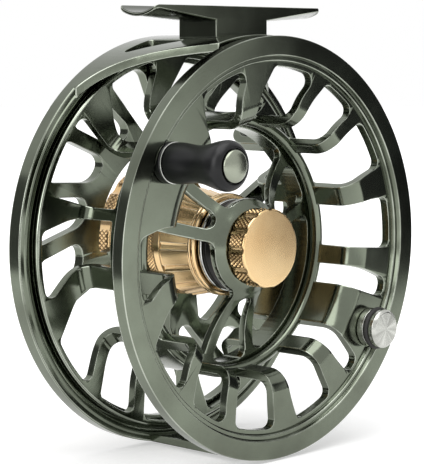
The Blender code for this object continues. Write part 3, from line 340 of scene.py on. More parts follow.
# Each half of the plate is a fan of six leaning spokes and one wide opening. These are the angles
# of the spokes on both sides of an opening, its inner and outer radius, and its inner corner.
fan_root, fan_corner, rim_corner = 30.0, 3.6, 2.2
frame_openings = [
    ((97, 117), (22.5, frame_rim), 2.2),
    *(((spoke, spoke + 20), (fan_root, frame_rim), fan_corner) for spoke in (117, 137, 157, 177)),
    ((117, 197), (frame_hub, 24.6), 2.1),
    ((197, 277), (frame_hub, frame_rim), 3.0),
]
openings = []
for turn in (0, 180):
    for spokes, radii, corner in frame_openings:
        angles = [math.radians(spoke + turn) for spoke in spokes]
        openings.append(leaning(window(angles, radii, frame_half, (corner, rim_corner), 16)))
billet = combined(billet, pulled(openings, plate_back - 2, hub_face + 2), "DIFFERENCE")


def rounded(corners, radius):
    """A straight-sided outline with its corners rounded."""
    points = []
    for index, corner in enumerate(corners):
        here = Vector(corner)
        before = (Vector(corners[index - 1]) - here).normalized()
        after = (Vector(corners[(index + 1) % len(corners)]) - here).normalized()
        half = before.angle(after) / 2
        centre = here + (before + after).normalized() * radius / math.sin(half)
        tangent = radius / math.tan(half)
        first, last = here + before * tangent, here + after * tangent
        points += short_arc(centre, radius, first - centre, last - centre, 4)
    return points


# A three-sided pocket goes through the bridge on each side of the foot. The foot's seat is milled
# in from outside and the two screw heads are let in from inside.
pocket_side, pocket_tip, pocket_back, pocket_front, pocket_corner = 10.5, 21.0, -13.0, 1.0, 1.2
pocket_ends = [(pocket_side, pocket_back), (pocket_tip, pocket_back), (pocket_side, pocket_front)]
pocket = rounded(pocket_ends, pocket_corner)
within = 40
for outline in (pocket, mirrored(pocket)):
    billet = combined(billet, pulled([outline], within, beyond, True), "DIFFERENCE")
foot_middle, foot_half_width, pedestal_half = 1.0, 6.25, 8.7
foot_back, foot_front = foot_middle - foot_half_width, foot_middle + foot_half_width
seat_height, seat_gap, meeting_gap = 49.45, 0.2, 0.05
seat = rectangle(pedestal_half + seat_gap, foot_back - seat_gap, foot_front + seat_gap)
billet = combined(billet, pulled([seat], seat_height, beyond, True), "DIFFERENCE")
screw_spread, head_room, head_depth = 4.9, 2.6, 48.0
heads = [circle((side * screw_spread, foot_middle), head_room, 32) for side in (-1, 1)]
billet = combined(billet, pulled(heads, within, head_depth, True), "DIFFERENCE")
cage = fitted("cage", eased(billet, 0.22), olive_anodised)
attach(cage, "reel_frame")
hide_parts("frame", "bridge", "bottom_bar")


# Saddle foot: machined aluminium, hollow on top to sit on the rod and thinned at both ends for
# the reel seat's hoods. It stands on a pedestal that two screws hold down on the bridge. Its
# finish is the cage's olive anodising painted darker, as painted shade.
saddle_height = -spin_height * metre
saddle_radius, foot_length, tip_round = 11.3, 56.3, 1.2
foot_thickness, foot_edge, tip_thickness, tip_edge = 1.9, 3.4, 0.8, 1.0
saddle_drop = saddle_radius - math.sqrt(saddle_radius**2 - foot_half_width**2)


def foot_section(bm, x, half_width, thickness, edge_rise):
    """One cross-section of the foot as a ring of edges: hollow on top, bowed underneath."""
    top = []
    under = []
    for share in spaced(-1, 1, 16):
        across = share * half_width
        hollow = saddle_radius - math.sqrt(saddle_radius**2 - across**2)
        top.append((x, saddle_height + hollow, foot_middle + across))
        under.append((x, saddle_height - thickness + edge_rise * share**2, foot_middle + across))
    corners = [bm.verts.new(place) for place in top + under[::-1]]
    return [bm.edges.new((corners[step - 1], corners[step])) for step in range(len(corners))]


thick_rise = saddle_drop + foot_thickness - foot_edge
tip_rise = saddle_drop + tip_thickness - tip_edge
foot = bmesh.new()
rings = []
for side in (-1, 1):
    stations = []
    for swing in spaced(0, math.pi / 2, 4):
        reach = foot_length / 2 - tip_round * (1 - math.sin(swing))
        width = foot_half_width - tip_round * (1 - math.cos(swing))
        stations.append((reach, width, tip_thickness, tip_rise * (width / foot_half_width) ** 2))
    stations.append((pedestal_half, foot_half_width, foot_thickness, thick_rise))
    stations.sort(key=lambda station: side * station[0])
    for reach, width, thickness, rise in stations:
        rings.append(foot_section(foot, side * reach, width, thickness, rise))
for first, second in zip(rings, rings[1:]):
    bmesh.ops.bridge_loops(foot, edges=first + second)
bmesh.ops.contextual_create(foot, geom=rings[0])
bmesh.ops.contextual_create(foot, geom=rings[-1])
bmesh.ops.recalc_face_normals(foot, faces=foot.faces)
stem = rectangle(pedestal_half, foot_back, foot_front)
stem_base, stem_top = seat_height + meeting_gap, saddle_height - foot_thickness / 2
foot = combined(foot, pulled([stem], stem_base, stem_top, True), "UNION")
# Painted shade: the foot gets a darker copy of the olive finish, for the dark that its faces mirror.
shaded_olive_anodised = satin_metal("painted_shade_olive_anodised_aluminium", "#484c42", "#565b50", "#c0c5b8", 0.17)
saddle_foot = fitted("saddle_foot", eased(foot, 0.25, 40), shaded_olive_anodised)
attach(saddle_foot, "reel_frame")
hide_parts("reel_foot")


# Foot screws: two stainless screws with domed heads, turned and broached for a hexagon key, put
# in from inside the bridge to hold the foot down.
tumbled_steel = satin_metal("tumbled_stainless_steel", "#9c9d99", "#b0b1ac", "#d8d9d4", 0.24)
screw_profile = [(0, 46.9), (1.2, 46.93), (1.9, 47.05), (2.3, 47.3), (2.4, 47.55), (2.4, 47.8)]
screw_profile += [(1.3, 47.8), (1.3, 51.4), (0, 51.4)]
key_radius, key_mouth, key_floor = 0.9, 46, 47.4
lie_upright = Matrix.Rotation(math.radians(-90), 4, "X")
for side, hand in ((-1, "left"), (1, "right")):
    socket = pulled([circle((0, 0), key_radius, 6)], key_mouth, key_floor)
    screw = combined(turned(screw_profile, 48), socket, "DIFFERENCE")
    screw_place = in_reel @ Matrix.Translation((side * screw_spread, 0, foot_middle)) @ lie_upright
    domed_screw = fitted(f"domed_screw_{hand}", eased(screw, 0.06), tumbled_steel, screw_place)
    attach(domed_screw, "reel_frame")
    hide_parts(f"foot_screw_{hand}")


# Drag housing: champagne-gold anodised turnings on the frame's hub. A collar is knurled on its
# rear half, a tapered drum is fluted along its side, and a lipped lid closes it behind a washer.
gold_anodised = satin_metal("champagne_gold_anodised_aluminium", "#dcb885", "#ebce9e", "#f9edd3", 0.24)
tree = gold_anodised.node_tree
shader = tree.nodes["Principled BSDF"]
skin = shader.inputs["Base Color"].links[0].from_socket
# Painted shade: the roots of the knurling are painted dark brown between the raised points, where shade falls
# in the valleys.
roots = add(tree, "Attribute", {}, attribute_name="knurl_root_shade").outputs["Fac"]
painted_root_shade = add(tree, "MapRange", {"Value": roots, 1: 0.4, 2: 0.95, 3: 0.0, 4: 0.85}).outputs[0]
colour = add(tree, "Mix", {"Factor": painted_root_shade, 6: skin, 7: linear("#4d3518")}, data_type="RGBA").outputs[2]
tree.links.new(colour, shader.inputs["Base Color"])


def knurled(bm, low, high, rows, steps, least, rise, radius_at):
    """Diamond knurling on a turned grid between two stations: every other point is raised, and
    each cell is folded between its two low points. Points nearer the axis than least are left."""
    # The valleys are marked so that the finish can paint shade into the knurling's roots.
    root = bm.verts.layers.float.new("knurl_root_shade")
    valleys = []
    pitch = (high - low) / rows
    for vert in bm.verts:
        row = round((vert.co.z - low) / pitch)
        in_band = low - pitch / 4 < vert.co.z < high + pitch / 4
        if not in_band or vert.co.xy.length < least:
            continue
        angle = math.atan2(vert.co.y, vert.co.x)
        radius, share = radius_at(angle)
        raised = (row + round(angle / math.tau * steps)) % 2 == 0
        if not raised:
            valleys.append(vert)
            vert[root] = share
        lift = rise * share if raised and 0 < row < rows else 0
        vert.co.xy = polar(radius + lift, angle)
    bmesh.ops.connect_verts(bm, verts=valleys)
    return bm


collar_front, collar_back, collar_radius, collar_steps, collar_rows = -8.3, -13.3, 12.75, 208, 5
knurl_back, knurl_front, knurl_radius, knurl_rise = -13.1, -10.4, 12.92, 0.28
collar = turned(
    [(bore, collar_front), (collar_radius - 0.25, collar_front), (collar_radius, collar_front - 0.25)]
    + [(collar_radius, knurl_front + 0.2)]
    + [(knurl_radius, station) for station in spaced(knurl_front, knurl_back, collar_rows)]
    + [(12.6, collar_back), (bore, collar_back)],
    collar_steps,
)
collar = knurled(
    collar, knurl_back, knurl_front, collar_rows, collar_steps,
    least=knurl_radius - 0.05, rise=knurl_rise, radius_at=lambda angle: (knurl_radius, 1),
)
knurled_collar = fitted("knurled_collar", collar, gold_anodised)

drum_radius, flutes, flute_depth, drum_back, drum_front = 11.4, 14, 0.4, -8.2, 0.6
flute_half, flute_steps, drum_taper, shoulder_round = 0.8, 6, 1.17, 0.9
flute_swing, flute_pitch = flute_half / drum_radius, math.tau / flutes
cup_radius, cup_floor = 9.2, -3.9
drum_outline = []
for flute in range(flutes):
    groove = flute * flute_pitch
    for share in spaced(-1, 1, 2 * flute_steps)[:-1]:
        depth = flute_depth * math.cos(share * math.pi / 2)
        drum_outline.append(tuple(polar(drum_radius - depth, groove + share * flute_swing)))
    land_start, land_end = groove + flute_swing, groove + flute_pitch - flute_swing
    drum_outline += arc((0, 0), drum_radius, land_start, land_end, 8)[:-1]
drum = pulled([drum_outline], drum_back, drum_front)
wide_end = [vert for vert in drum.verts if vert.co.z < drum_back + 0.01]
bmesh.ops.scale(drum, verts=wide_end, vec=(drum_taper, drum_taper, 1))
shoulder = [edge for edge in drum.edges if all(vert in wide_end for vert in edge.verts)]
bmesh.ops.bevel(
    drum, geom=shoulder, offset=shoulder_round, offset_type="OFFSET", segments=4, profile=0.5,
    affect="EDGES", material=-1,
)
cup = pulled([circle((0, 0), cup_radius, 64)], cup_floor, drum_front + 3)
spindle_hole = pulled([circle((0, 0), bore, 48)], drum_back - 3, drum_front + 3)
for hollow in (cup, spindle_hole):
    drum = combined(drum, hollow, "DIFFERENCE")
fluted_drum = fitted("fluted_drum", eased(drum, 0.12), gold_anodised)

lid = turned(
    [(5.25, 3.0), (11.9, 3.0), (12.4, 2.6), (12.4, 2.2), (11.85, 1.95), (11.85, 1.75), (12.4, 1.5)]
    + [(12.4, 1.0), (12.1, 0.75), (5.25, 0.75)],
    128,
)
lipped_lid = fitted("lipped_lid", eased(lid, 0.1), gold_anodised)
for piece, node in ((knurled_collar, "drag_collar"), (fluted_drum, "drag_cup"), (lipped_lid, "drag_lid")):
    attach(piece, "reel_frame")
    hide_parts(node)


def lathe_turned(name, shade, tone, rough, middle):
    """Turned metal: fine tool rings round an axis along Y through the middle, which spread a
    highlight into a fan, and a tone painted lighter and darker round the axis as a painted fan of highlights."""
    finish, tree, shader, place = new_finish(name)
    centred = add(tree, "Mapping", {"Vector": place, "Location": -Vector(middle)}).outputs[0]
    # A ring texture repeats every 0.314 of its scaled length. Tool rings are near 0.05 mm
    # apart, drawn here at 0.2 mm.
    rings = add(
        tree, "TexWave", {"Vector": centred, "Scale": 0.314 / 0.0002}, wave_type="RINGS", rings_direction="Y"
    ).outputs["Fac"]
    flat = add(tree, "VectorMath", {0: centred, 1: (1, 0, 1)}, operation="MULTIPLY").outputs[0]
    heading = add(tree, "VectorMath", {0: flat}, operation="NORMALIZE").outputs[0]
    # Painted highlight: the colour is painted lighter and darker round the axis, as the fan of streaks that
    # turned faces show.
    painted_highlight_fan = add(tree, "TexNoise", {"Vector": heading, "Scale": 2, "Detail": 3}).outputs["Fac"]
    share = add(tree, "MapRange", {"Value": painted_highlight_fan, 1: 0.35, 2: 0.65}).outputs[0]
    dark, light = linear(shade), linear(tone)
    colour = add(tree, "Mix", {"Factor": share, 6: dark, 7: light}, data_type="RGBA").outputs[2]
    tree.links.new(colour, shader.inputs["Base Color"])
    least, most = rough - 0.04, rough + 0.05
    shine = add(tree, "MapRange", {"Value": painted_highlight_fan, 1: 0.3, 2: 0.7, 3: most, 4: least}).outputs[0]
    tree.links.new(shine, shader.inputs["Roughness"])
    bump = add(tree, "Bump", {"Strength": 0.15, "Distance": 0.00002, "Height": rings}).outputs["Normal"]
    tree.links.new(bump, shader.inputs["Normal"])
    shader.inputs["Metallic"].default_value = 1.0
    return finish


on_spindle = (0, 0, spin_height)
turned_aluminium = lathe_turned("turned_bright_aluminium", "#a9aaa6", "#d2d3cf", 0.2, on_spindle)
face_washer = turned([(5.25, 4.4), (10.95, 4.4), (11.2, 4.2), (11.2, 3.6), (11.0, 3.45), (5.25, 3.45)], 128)
bright_washer = fitted("bright_face_washer", eased(face_washer, 0.08), turned_aluminium)
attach(bright_washer, "reel_frame")
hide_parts("face_ring")


# Drag stack and spindle: ground steel spindle, rotor, plate and push pins, with two discs cut
# from woven carbon sheet between them. They keep their plain turned shapes inside the drum.
ground_steel = lathe_turned("ground_steel", "#8f908c", "#a8a9a4", 0.26, on_spindle)
woven_carbon, tree, shader, place = new_finish("woven_carbon_sheet")
# Tows of the plain weave are 1 mm wide, and each lies over and under the next.
weave = add(tree, "TexChecker", {"Vector": place, "Scale": 1 / 0.001}).outputs["Fac"]
threads = add(tree, "TexNoise", {"Vector": place, "Scale": 1 / 0.0002, "Detail": 2}).outputs["Fac"]
mixed = add(tree, "Math", {0: weave, 1: threads}, operation="MULTIPLY").outputs[0]
resin, tow = linear("#17181a"), linear("#34363a")
colour = add(tree, "Mix", {"Factor": mixed, 6: resin, 7: tow}, data_type="RGBA").outputs[2]
tree.links.new(colour, shader.inputs["Base Color"])
sheen = add(tree, "MapRange", {"Value": mixed, 3: 0.55, 4: 0.35}).outputs[0]
tree.links.new(sheen, shader.inputs["Roughness"])
relief = add(tree, "Bump", {"Strength": 0.2, "Distance": 0.00005, "Height": mixed}).outputs["Normal"]
tree.links.new(relief, shader.inputs["Normal"])


def finished(names, finish):
    """Gives solids that keep their shape a finish."""
    for name in names:
        for slot in frame["nodes"][name].material_slots:
            slot.material = finish


push_pins = [name for name in frame["nodes"] if name.startswith("push_pin")]
finished(["spindle", "clutch_rotor", "pressure_plate"] + push_pins, ground_steel)
finished(["front_friction_disc", "rear_friction_disc"], woven_carbon)


# Drag knob: a gold-anodised turned wheel behind the plate, with scallops for the fingers, diamond
# knurling between them and a dished back. A slotted steel nut keeps it on the spindle.
knob_front, knob_back, knob_bore, knob_steps, knob_rows = -19.7, -24.5, 3.05, 192, 5
grip_front, grip_back, grip_radius, grip_rise = -20.4, -24.1, 18.2, 0.3
dish_depth, ring_groove = 1.2, 0.25


def scalloped(pad_radius, middle, radius, start):
    """A side with twelve round scallops, one of them at the start angle. The side gives its own
    radius at an angle, and 1 where it is a knurled pad or 0 in a scallop."""
    pitch = math.radians(30)

    def side(angle):
        swing = (angle - start + pitch / 2) % pitch - pitch / 2
        across = middle * math.sin(swing)
        if abs(across) > radius:
            return pad_radius, 1
        floor = middle * math.cos(swing) - math.sqrt(radius**2 - across**2)
        return (floor, 0) if floor < pad_radius else (pad_radius, 1)

    return side


def notched(bm, low, high, side, proud):
    """Draws a rim between two stations in where the scallops run out through it."""
    for vert in bm.verts:
        reach = vert.co.xy.length
        limit = side(math.atan2(vert.co.y, vert.co.x))[0] + proud
        if low < vert.co.z < high and reach > limit:
            vert.co.xy *= limit / reach
    return bm


wheel = turned(
    [(knob_bore, knob_front), (17.5, knob_front), (17.8, knob_front - 0.08), (18.0, knob_front - 0.28)]
    + [(18.1, knob_front - 0.45)]
    + [(grip_radius, station) for station in spaced(grip_front, grip_back, knob_rows)]
    + [(18.0, knob_back + 0.2), (17.85, knob_back + 0.05), (17.6, knob_back), (16.6, knob_back)]
    + [(16.4, knob_back + ring_groove), (16.0, knob_back + ring_groove), (15.8, knob_back)]
    + [(14.0, knob_back), (12.8, knob_back + dish_depth), (knob_bore, knob_back + dish_depth)],
    knob_steps,
)
wheel_side = scalloped(grip_radius, middle=20.4, radius=2.9, start=math.radians(15))
wheel = knurled(
    wheel, grip_back, grip_front, knob_rows, knob_steps,
    least=grip_radius - 0.05, rise=grip_rise, radius_at=wheel_side,
)
wheel = notched(wheel, knob_back - 1, grip_back - 0.1, wheel_side, 0)
scalloped_wheel = fitted("scalloped_wheel", wheel, gold_anodised)
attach(scalloped_wheel, "drag_dial")
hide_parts("drag_knob")
nut = turned([(0, -26.1), (4.7, -26.1), (5.2, -25.9), (5.5, -25.4), (5.5, -23.5), (0, -23.5)], 64)
slot_reach, slot_half, slot_mouth, slot_floor = 6, 0.6, -27, -25.3
coin_slot = pulled([rectangle(slot_reach, -slot_half, slot_half)], slot_mouth, slot_floor)
slotted_nut = fitted("slotted_nut", eased(combined(nut, coin_slot, "DIFFERENCE"), 0.1), ground_steel)
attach(slotted_nut, "reel_frame")
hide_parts("spindle_nut")


# Spool: one machining. Three pairs of arms curve back from the hub to the arbor, whose wall bends
# into both flanges. The ports are milled straight in along the axis and lean toward the handle,
# so that a spoke shows a flat, a bend and the arbor's wall in turn.
handle_place = joints["handle_spin"]["pos_m"]
handle_angle = math.atan2(handle_place[2] - spin_height, handle_place[0])
rim, rim_front, rim_back, rim_step = 50.0, 19.2, 15.7, 0.9
flange_front, flange_back, back_rim, rim_edge = 17.4, -15.8, 46.3, 0.4
hub_bore, hub_front, hub_back = 6.65, 11.0, 7.8
wall, arbor, ring_lip, bend, spool_steps = 2.2, 29.8, 28.3, 5.0, 252
arm_front, arm_back, ring_back = 2.9, 0.9, -2.8
front_bend = (arbor + bend, flange_front - bend)
back_bend = (arbor + bend, flange_back + bend)
quarter = math.pi / 2
hub_round = [(8.9, hub_front), (9.25, 10.93), (9.6, 10.72), (10.1, 10.36), (10.8, 9.86), (11.5, 9.42)]
web_face = curved((12.4, 9.05), (19.5, 3.5), (ring_lip, arm_front), 14)
web_back = curved((ring_lip, arm_back), (18.8, 1.7), (12.2, hub_back), 14)
spool = turned(
    [(hub_bore, hub_front)]
    + hub_round
    + web_face
    + [(arbor, arm_front)]
    + arc(front_bend, bend, 2 * quarter, quarter, 10)
    + [
        (43.9, flange_front),
        (44.2, flange_front + rim_step),
        (45.1, flange_front + rim_step),
        (45.45, rim_front),
        (rim, rim_front),
        (rim, rim_back + rim_edge),
        (rim - rim_edge, rim_back),
        (45.5, rim_back),
        (45.1, flange_front - wall),
    ]
    + arc(front_bend, bend - wall, quarter, 2 * quarter, 8)
    + arc(back_bend, bend - wall, 2 * quarter, 3 * quarter, 8)
    + [
        (back_rim - rim_edge, flange_back + wall),
        (back_rim, flange_back + wall - rim_edge),
        (back_rim, flange_back + rim_edge),
        (back_rim - rim_edge, flange_back),
    ]
    + arc(back_bend, bend, 3 * quarter, 2 * quarter, 10)
    + [(arbor, ring_back), (ring_lip, ring_back)]
    + web_back
    + [(hub_bore, hub_back)],
    spool_steps,
)
# Each port's near and far side, as degrees from the handle at the rim and at the arbor.
handle_port = ((-12.9, -12.8), (14.7, 14.2))
ports = (
    ((25.1, 19.3), (46.9, 38.8)),
    ((58.7, 48.7), (78.4, 71.5)),
    ((84.0, 77.6), (100.1, 95.8)),
    ((105.0, 101.9), (123.2, 122.2)),
    ((134.2, 131.8), (151.6, 151.4)),
    ((162.1, 160.2), (168.3, 169.5)),
)
port_end, back_port_end, port_root, root_straight, longest_ease = 42.9, 44.8, 29.05, 1.5, 4.5


def port_outline(port, limit, corner):
    """A port from the front with the handle along X: slanted sides from a rounded outer end to
    the arbor's bend, then straight in."""
    corners = []
    roots = []
    for hand, (at_rim, at_arbor) in zip((1, -1), port):
        foot_point = polar(arbor + bend, math.radians(at_arbor))
        ray = (polar(port_end, math.radians(at_rim)) - foot_point).normalized()
        aside = Vector((-ray.y, ray.x)) * hand
        across = foot_point.dot(aside) + corner
        along = math.sqrt((limit - corner) ** 2 - across**2)
        centre = ray * along + aside * across
        ease = min(longest_ease, 0.8 * (along - foot_point.dot(ray)))
        corners.append(short_arc(centre, corner, -aside, centre, 8))
        start = polar(port_root, math.radians(at_arbor))
        straight_end = polar(port_root + root_straight, math.radians(at_arbor))
        roots.append([tuple(start)] + curved(straight_end, foot_point, foot_point + ray * ease, 8))
    end = short_arc((0, 0), limit, corners[0][-1], corners[1][-1], 8)[1:-1]
    root_end = short_arc((0, 0), port_root, roots[1][0], roots[0][0], 6)[1:-1]
    return roots[0] + corners[0] + end + corners[1][::-1] + roots[1][::-1] + root_end


def both_hands(outlines):
    """Outlines on the handle's left and their mirror images."""
    return outlines + [[(x, -y) for x, y in outline[::-1]] for outline in outlines]


def at_handle(outlines):
    """Outlines with the handle along X, turned to the handle's angle."""
    spin = Matrix.Rotation(handle_angle, 2)
    return [[tuple(spin @ Vector(point)) for point in outline] for outline in outlines]


def round_floor(bm, floor, size):
    """Rounds a cutter's end, as the milling tool's corner leaves the bottom of a port."""
    ends = [edge for edge in bm.edges if all(abs(vert.co.z - floor) < 0.001 for vert in edge.verts)]
    bmesh.ops.bevel(
        bm, geom=ends, offset=size, offset_type="OFFSET", segments=3, profile=0.5, affect="EDGES",
        material=-1,
    )
    return bm


def full_root(inner, half_angle, half_spoke):
    """The corner radius at which a window's two inner corners all but meet."""
    return 0.9 * (inner * math.sin(half_angle) - half_spoke) / (1 - math.sin(half_angle))


port_floor, floor_round, past_front, past_back = 4.6, 0.6, 22, -18
front_outlines = both_hands([port_outline(port, port_end, 2.0) for port in ports])
front_ports = pulled(at_handle(front_outlines), port_floor, past_front)
back_outlines = both_hands([port_outline(port, back_port_end, 1.9) for port in ports])
back_outlines.append(port_outline(handle_port, back_port_end, 2.6))
back_ports = pulled(at_handle(back_outlines), past_back, -port_floor)
spool = combined(spool, round_floor(front_ports, port_floor, floor_round), "DIFFERENCE")
spool = combined(spool, round_floor(back_ports, -port_floor, floor_round), "DIFFERENCE")
bead_middle, bead_radius = (30.3, 4.4), 1.35
bead = turned(circle(bead_middle, bead_radius, 20), spool_steps)
spool = combined(spool, bead, "UNION")
# Three narrow windows lie inside the pairs of arms, and three wide ones between the pairs.
arm_half, arm_spread, pair_pitch = 1.5, math.radians(15), math.radians(120)
crotch, hub_edge, window_rim, window_corner, past_ring, past_hub = 12.6, 11.5, 28.4, 2.2, -6, 14
arm_halves = (arm_half, arm_half)
inside_corners = (full_root(crotch, arm_spread, arm_half), window_corner)
between_corners = (window_corner, window_corner)
web_windows = []
for pair in range(3):
    middle = math.radians(30 + 120 * pair)
    inside = (middle - arm_spread, middle + arm_spread)
    between = (middle + arm_spread, middle + pair_pitch - arm_spread)
    web_windows.append(window(inside, (crotch, window_rim), arm_halves, inside_corners))
    web_windows.append(window(between, (hub_edge, window_rim), arm_halves, between_corners, 24))
spool = combined(spool, pulled(web_windows, past_ring, past_hub), "DIFFERENCE")
# Shallow seats are milled in the flange for the handle's foot and the counterweight.
handle_orbit = math.hypot(handle_place[0], handle_place[2] - spin_height) * metre
handle_spot = polar(handle_orbit, handle_angle)
balance_orbit, handle_seat, balance_seat = 41.6, 4.9, 5.0
balance_spot = polar(balance_orbit, handle_angle + math.pi)
seats = [circle(handle_spot, handle_seat, 48), circle(balance_spot, balance_seat, 48)]
spool = combined(spool, pulled(seats, flange_front + meeting_gap, past_front), "DIFFERENCE")
ported_spool = fitted("ported_spool", eased(spool, 0.2), olive_anodised)
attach(ported_spool, "spool_unit")
staves = [name for name in frame["nodes"] if name.startswith("spool_stave")]
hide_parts("spool_rim", "spool_back_rim", "spool_web", *staves)


# Clutch housing: a black moulded ring with a groove round its side, pressed behind the spool's
# hub, with the roller clutch inside it and a steel ball bearing in the hub.
black_acetal, tree, shader, place = new_finish("moulded_black_acetal")
# Satin moulding: a spark-eroded texture near 0.1 mm, drawn here at 0.25 mm, gives a low grey
# sheen, and handling leaves it glossier in patches of about 6 mm.
pits = add(tree, "TexNoise", {"Vector": place, "Scale": 1 / 0.00025, "Detail": 2}).outputs["Fac"]
handled = add(tree, "TexNoise", {"Vector": place, "Scale": 1 / 0.006, "Detail": 3}).outputs["Fac"]
black, grey = linear("#060707"), linear("#0d0e10")
colour = add(tree, "Mix", {"Factor": handled, 6: black, 7: grey}, data_type="RGBA").outputs[2]
tree.links.new(colour, shader.inputs["Base Color"])
sheen = add(tree, "MapRange", {"Value": handled, 1: 0.3, 2: 0.7, 3: 0.4, 4: 0.31}).outputs[0]
tree.links.new(sheen, shader.inputs["Roughness"])
shader.inputs["Specular IOR Level"].default_value = 0.3
relief = add(tree, "Bump", {"Strength": 0.06, "Distance": 0.00003, "Height": pits}).outputs["Normal"]
tree.links.new(relief, shader.inputs["Normal"])
housing = turned(
    [(7.7, 4.5), (10.6, 4.5), (10.9, 4.8), (10.9, 5.5), (10.7, 5.65), (10.9, 5.8), (10.9, 7.4)]
    + [(10.6, 7.7), (7.7, 7.7)],
    128,
)
grooved_housing = fitted("grooved_housing", eased(housing, 0.08), black_acetal)
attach(grooved_housing, "spool_unit")
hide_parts("clutch_housing")
finished(["hub_bearing", "roller_clutch"], ground_steel)


# Release cap: a gold-anodised turned cap on the hub's nose. Twelve scallops are milled in its side
# and run out through the front rim, and the pads left between them are knurled in diamonds.
cap_radius, cap_front, cap_back, cap_steps, cap_rows = 9.4, 16.6, 11.2, 120, 7
pad_front, pad_back, pad_radius, pad_rise = 15.85, 11.45, 9.1, 0.33
nose_radius, nose_front = 3.2, 13.4
cap = turned(
    [(0, cap_front), (8.85, cap_front), (9.15, cap_front - 0.08), (9.35, cap_front - 0.28)]
    + [(cap_radius, cap_front - 0.5), (cap_radius, pad_front + 0.15)]
    + [(pad_radius, station) for station in spaced(pad_front, pad_back, cap_rows)]
    + [(8.6, cap_back), (nose_radius, cap_back), (nose_radius, nose_front), (0, nose_front)],
    cap_steps,
)
cap_side = scalloped(pad_radius, middle=10.3, radius=1.5, start=0)
cap = knurled(
    cap, pad_back, pad_front, cap_rows, cap_steps,
    least=pad_radius - 0.1, rise=pad_rise, radius_at=cap_side,
)
cap = notched(cap, pad_front + 0.1, cap_front + 1, cap_side, cap_radius - pad_radius)
knurled_cap = fitted("knurled_cap", cap, gold_anodised)
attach(knurled_cap, "cap")
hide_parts("release_cap")


# Handle: a black moulded barrel that turns on a steel stud, over a black base and a thin bright
# washer, with a domed aluminium cap pressed into its end.
on_handle = in_reel @ Matrix.Translation((*handle_spot, 0))
handle_axis = on_handle.translation
base_profile = [(1.9, 19.5), (4.45, 19.5), (4.7, 19.25), (4.7, 17.75), (4.6, 17.5), (1.9, 17.5)]
handle_foot = fitted("handle_foot", eased(turned(base_profile, 64), 0.1), black_acetal, on_handle)
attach(handle_foot, "spool_unit")
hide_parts("handle_base")
fan_aluminium = lathe_turned("turned_handle_aluminium", "#a2a39f", "#c6c7c2", 0.24, handle_axis)
ring_profile = [(1.9, 20.0), (4.5, 20.0), (4.7, 19.85), (4.7, 19.7), (4.5, 19.55), (1.9, 19.55)]
handle_ring = fitted("handle_ring", turned(ring_profile, 64), fan_aluminium, on_handle)
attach(handle_ring, "spool_unit")
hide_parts("handle_washer")
finished(["handle_stud"], ground_steel)

barrel_radius, barrel_front, barrel_back, barrel_bore = 5.6, 38.2, 20.2, 1.75
nose_round, taper, waist, tail_edge = 2.25, 1.0, 0.9, 0.25
mouth_radius, mouth_floor, mouth_edge = 4.0, 37.3, 38.0
side_front = barrel_front - nose_round
side_length = side_front - barrel_back - tail_edge
barrel_side = arc((barrel_radius - nose_round, side_front), nose_round, quarter, 0, 12)
for share in spaced(0, 1, 24)[1:]:
    pinch = taper * share + waist * math.sin(math.pi * share) ** 2
    barrel_side.append((barrel_radius - pinch, side_front - side_length * share))
barrel_side = [point for point in barrel_side if point[0] > mouth_radius + 0.1]
barrel = turned(
    [(barrel_bore, barrel_back), (barrel_bore, mouth_floor)]
    + [(mouth_radius, mouth_floor), (mouth_radius, mouth_edge)]
    + barrel_side
    + [(4.3, barrel_back)],
    96,
)
handle_barrel = fitted("handle_barrel", barrel, black_acetal, on_handle)
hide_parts("handle_knob")
button_radius, button_rise, button_bed = 3.6, 1.0, 37.4
dome = [(0, barrel_front + button_rise)]
for swing in spaced(quarter, 0, 10)[1:]:
    dome.append((button_radius * math.cos(swing), barrel_front + button_rise * math.sin(swing)))
end_button = turned(dome + [(button_radius, button_bed), (0, button_bed)], 96)
grey_anodised = satin_metal("grey_anodised_aluminium", "#83877a", "#959a8b", "#cfd3c6", 0.25)
handle_button = fitted("handle_button", eased(end_button, 0.08), grey_anodised, on_handle)
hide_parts("handle_end_cap")
for piece in (handle_barrel, handle_button):
    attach(piece, "handle")


# Counterweight: a turned stainless weight opposite the handle, screwed on from inside the
# flange, with a black rubber ring in the groove round its middle.
on_balance = in_reel @ Matrix.Translation((*balance_spot, 0))
fan_steel = lathe_turned("turned_stainless_steel", "#a3a49e", "#c9cac4", 0.22, on_balance.translation)
weight_radius, weight_front, weight_back, groove_radius = 4.8, 23.2, 17.5, 4.35
weight = turned(
    [(0, weight_front), (4.1, weight_front), (weight_radius, weight_front - 0.7)]
    + [(weight_radius, 21.3), (groove_radius, 21.2), (groove_radius, 19.6), (weight_radius, 19.5)]
    + [(weight_radius, weight_back + 0.3), (weight_radius - 0.2, weight_back), (0, weight_back)],
    96,
)
turned_weight = fitted("turned_weight", eased(weight, 0.1), fan_steel, on_balance)
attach(turned_weight, "spool_unit")
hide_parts("counterweight")
black_rubber, tree, shader, place = new_finish("moulded_nitrile_rubber")
# Nitrile rubber: matt and dark, with a dusty bloom in patches of about 1.5 mm.
bloom = add(tree, "TexNoise", {"Vector": place, "Scale": 1 / 0.0015, "Detail": 4}).outputs["Fac"]
black, dusty = linear("#141413"), linear("#2a2a28")
colour = add(tree, "Mix", {"Factor": bloom, 6: black, 7: dusty}, data_type="RGBA").outputs[2]
tree.links.new(colour, shader.inputs["Base Color"])
sheen = add(tree, "MapRange", {"Value": bloom, 3: 0.5, 4: 0.75}).outputs[0]
tree.links.new(sheen, shader.inputs["Roughness"])
band_middle, band_radius = (4.55, 20.4), 0.7
rubber_band = turned(circle(band_middle, band_radius, 20), 96)
rubber_ring = fitted("rubber_ring", rubber_band, black_rubber, on_balance)
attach(rubber_ring, "spool_unit")
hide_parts("counterweight_ring")
finished(["counterweight_screw"], tumbled_steel)


# Studio: a white sweep under and behind the reel, a broad softbox overhead and one on the left,
# and a dark and a grey card out of the picture for the satin faces to mirror.
floor_height = cad_box[0][2]


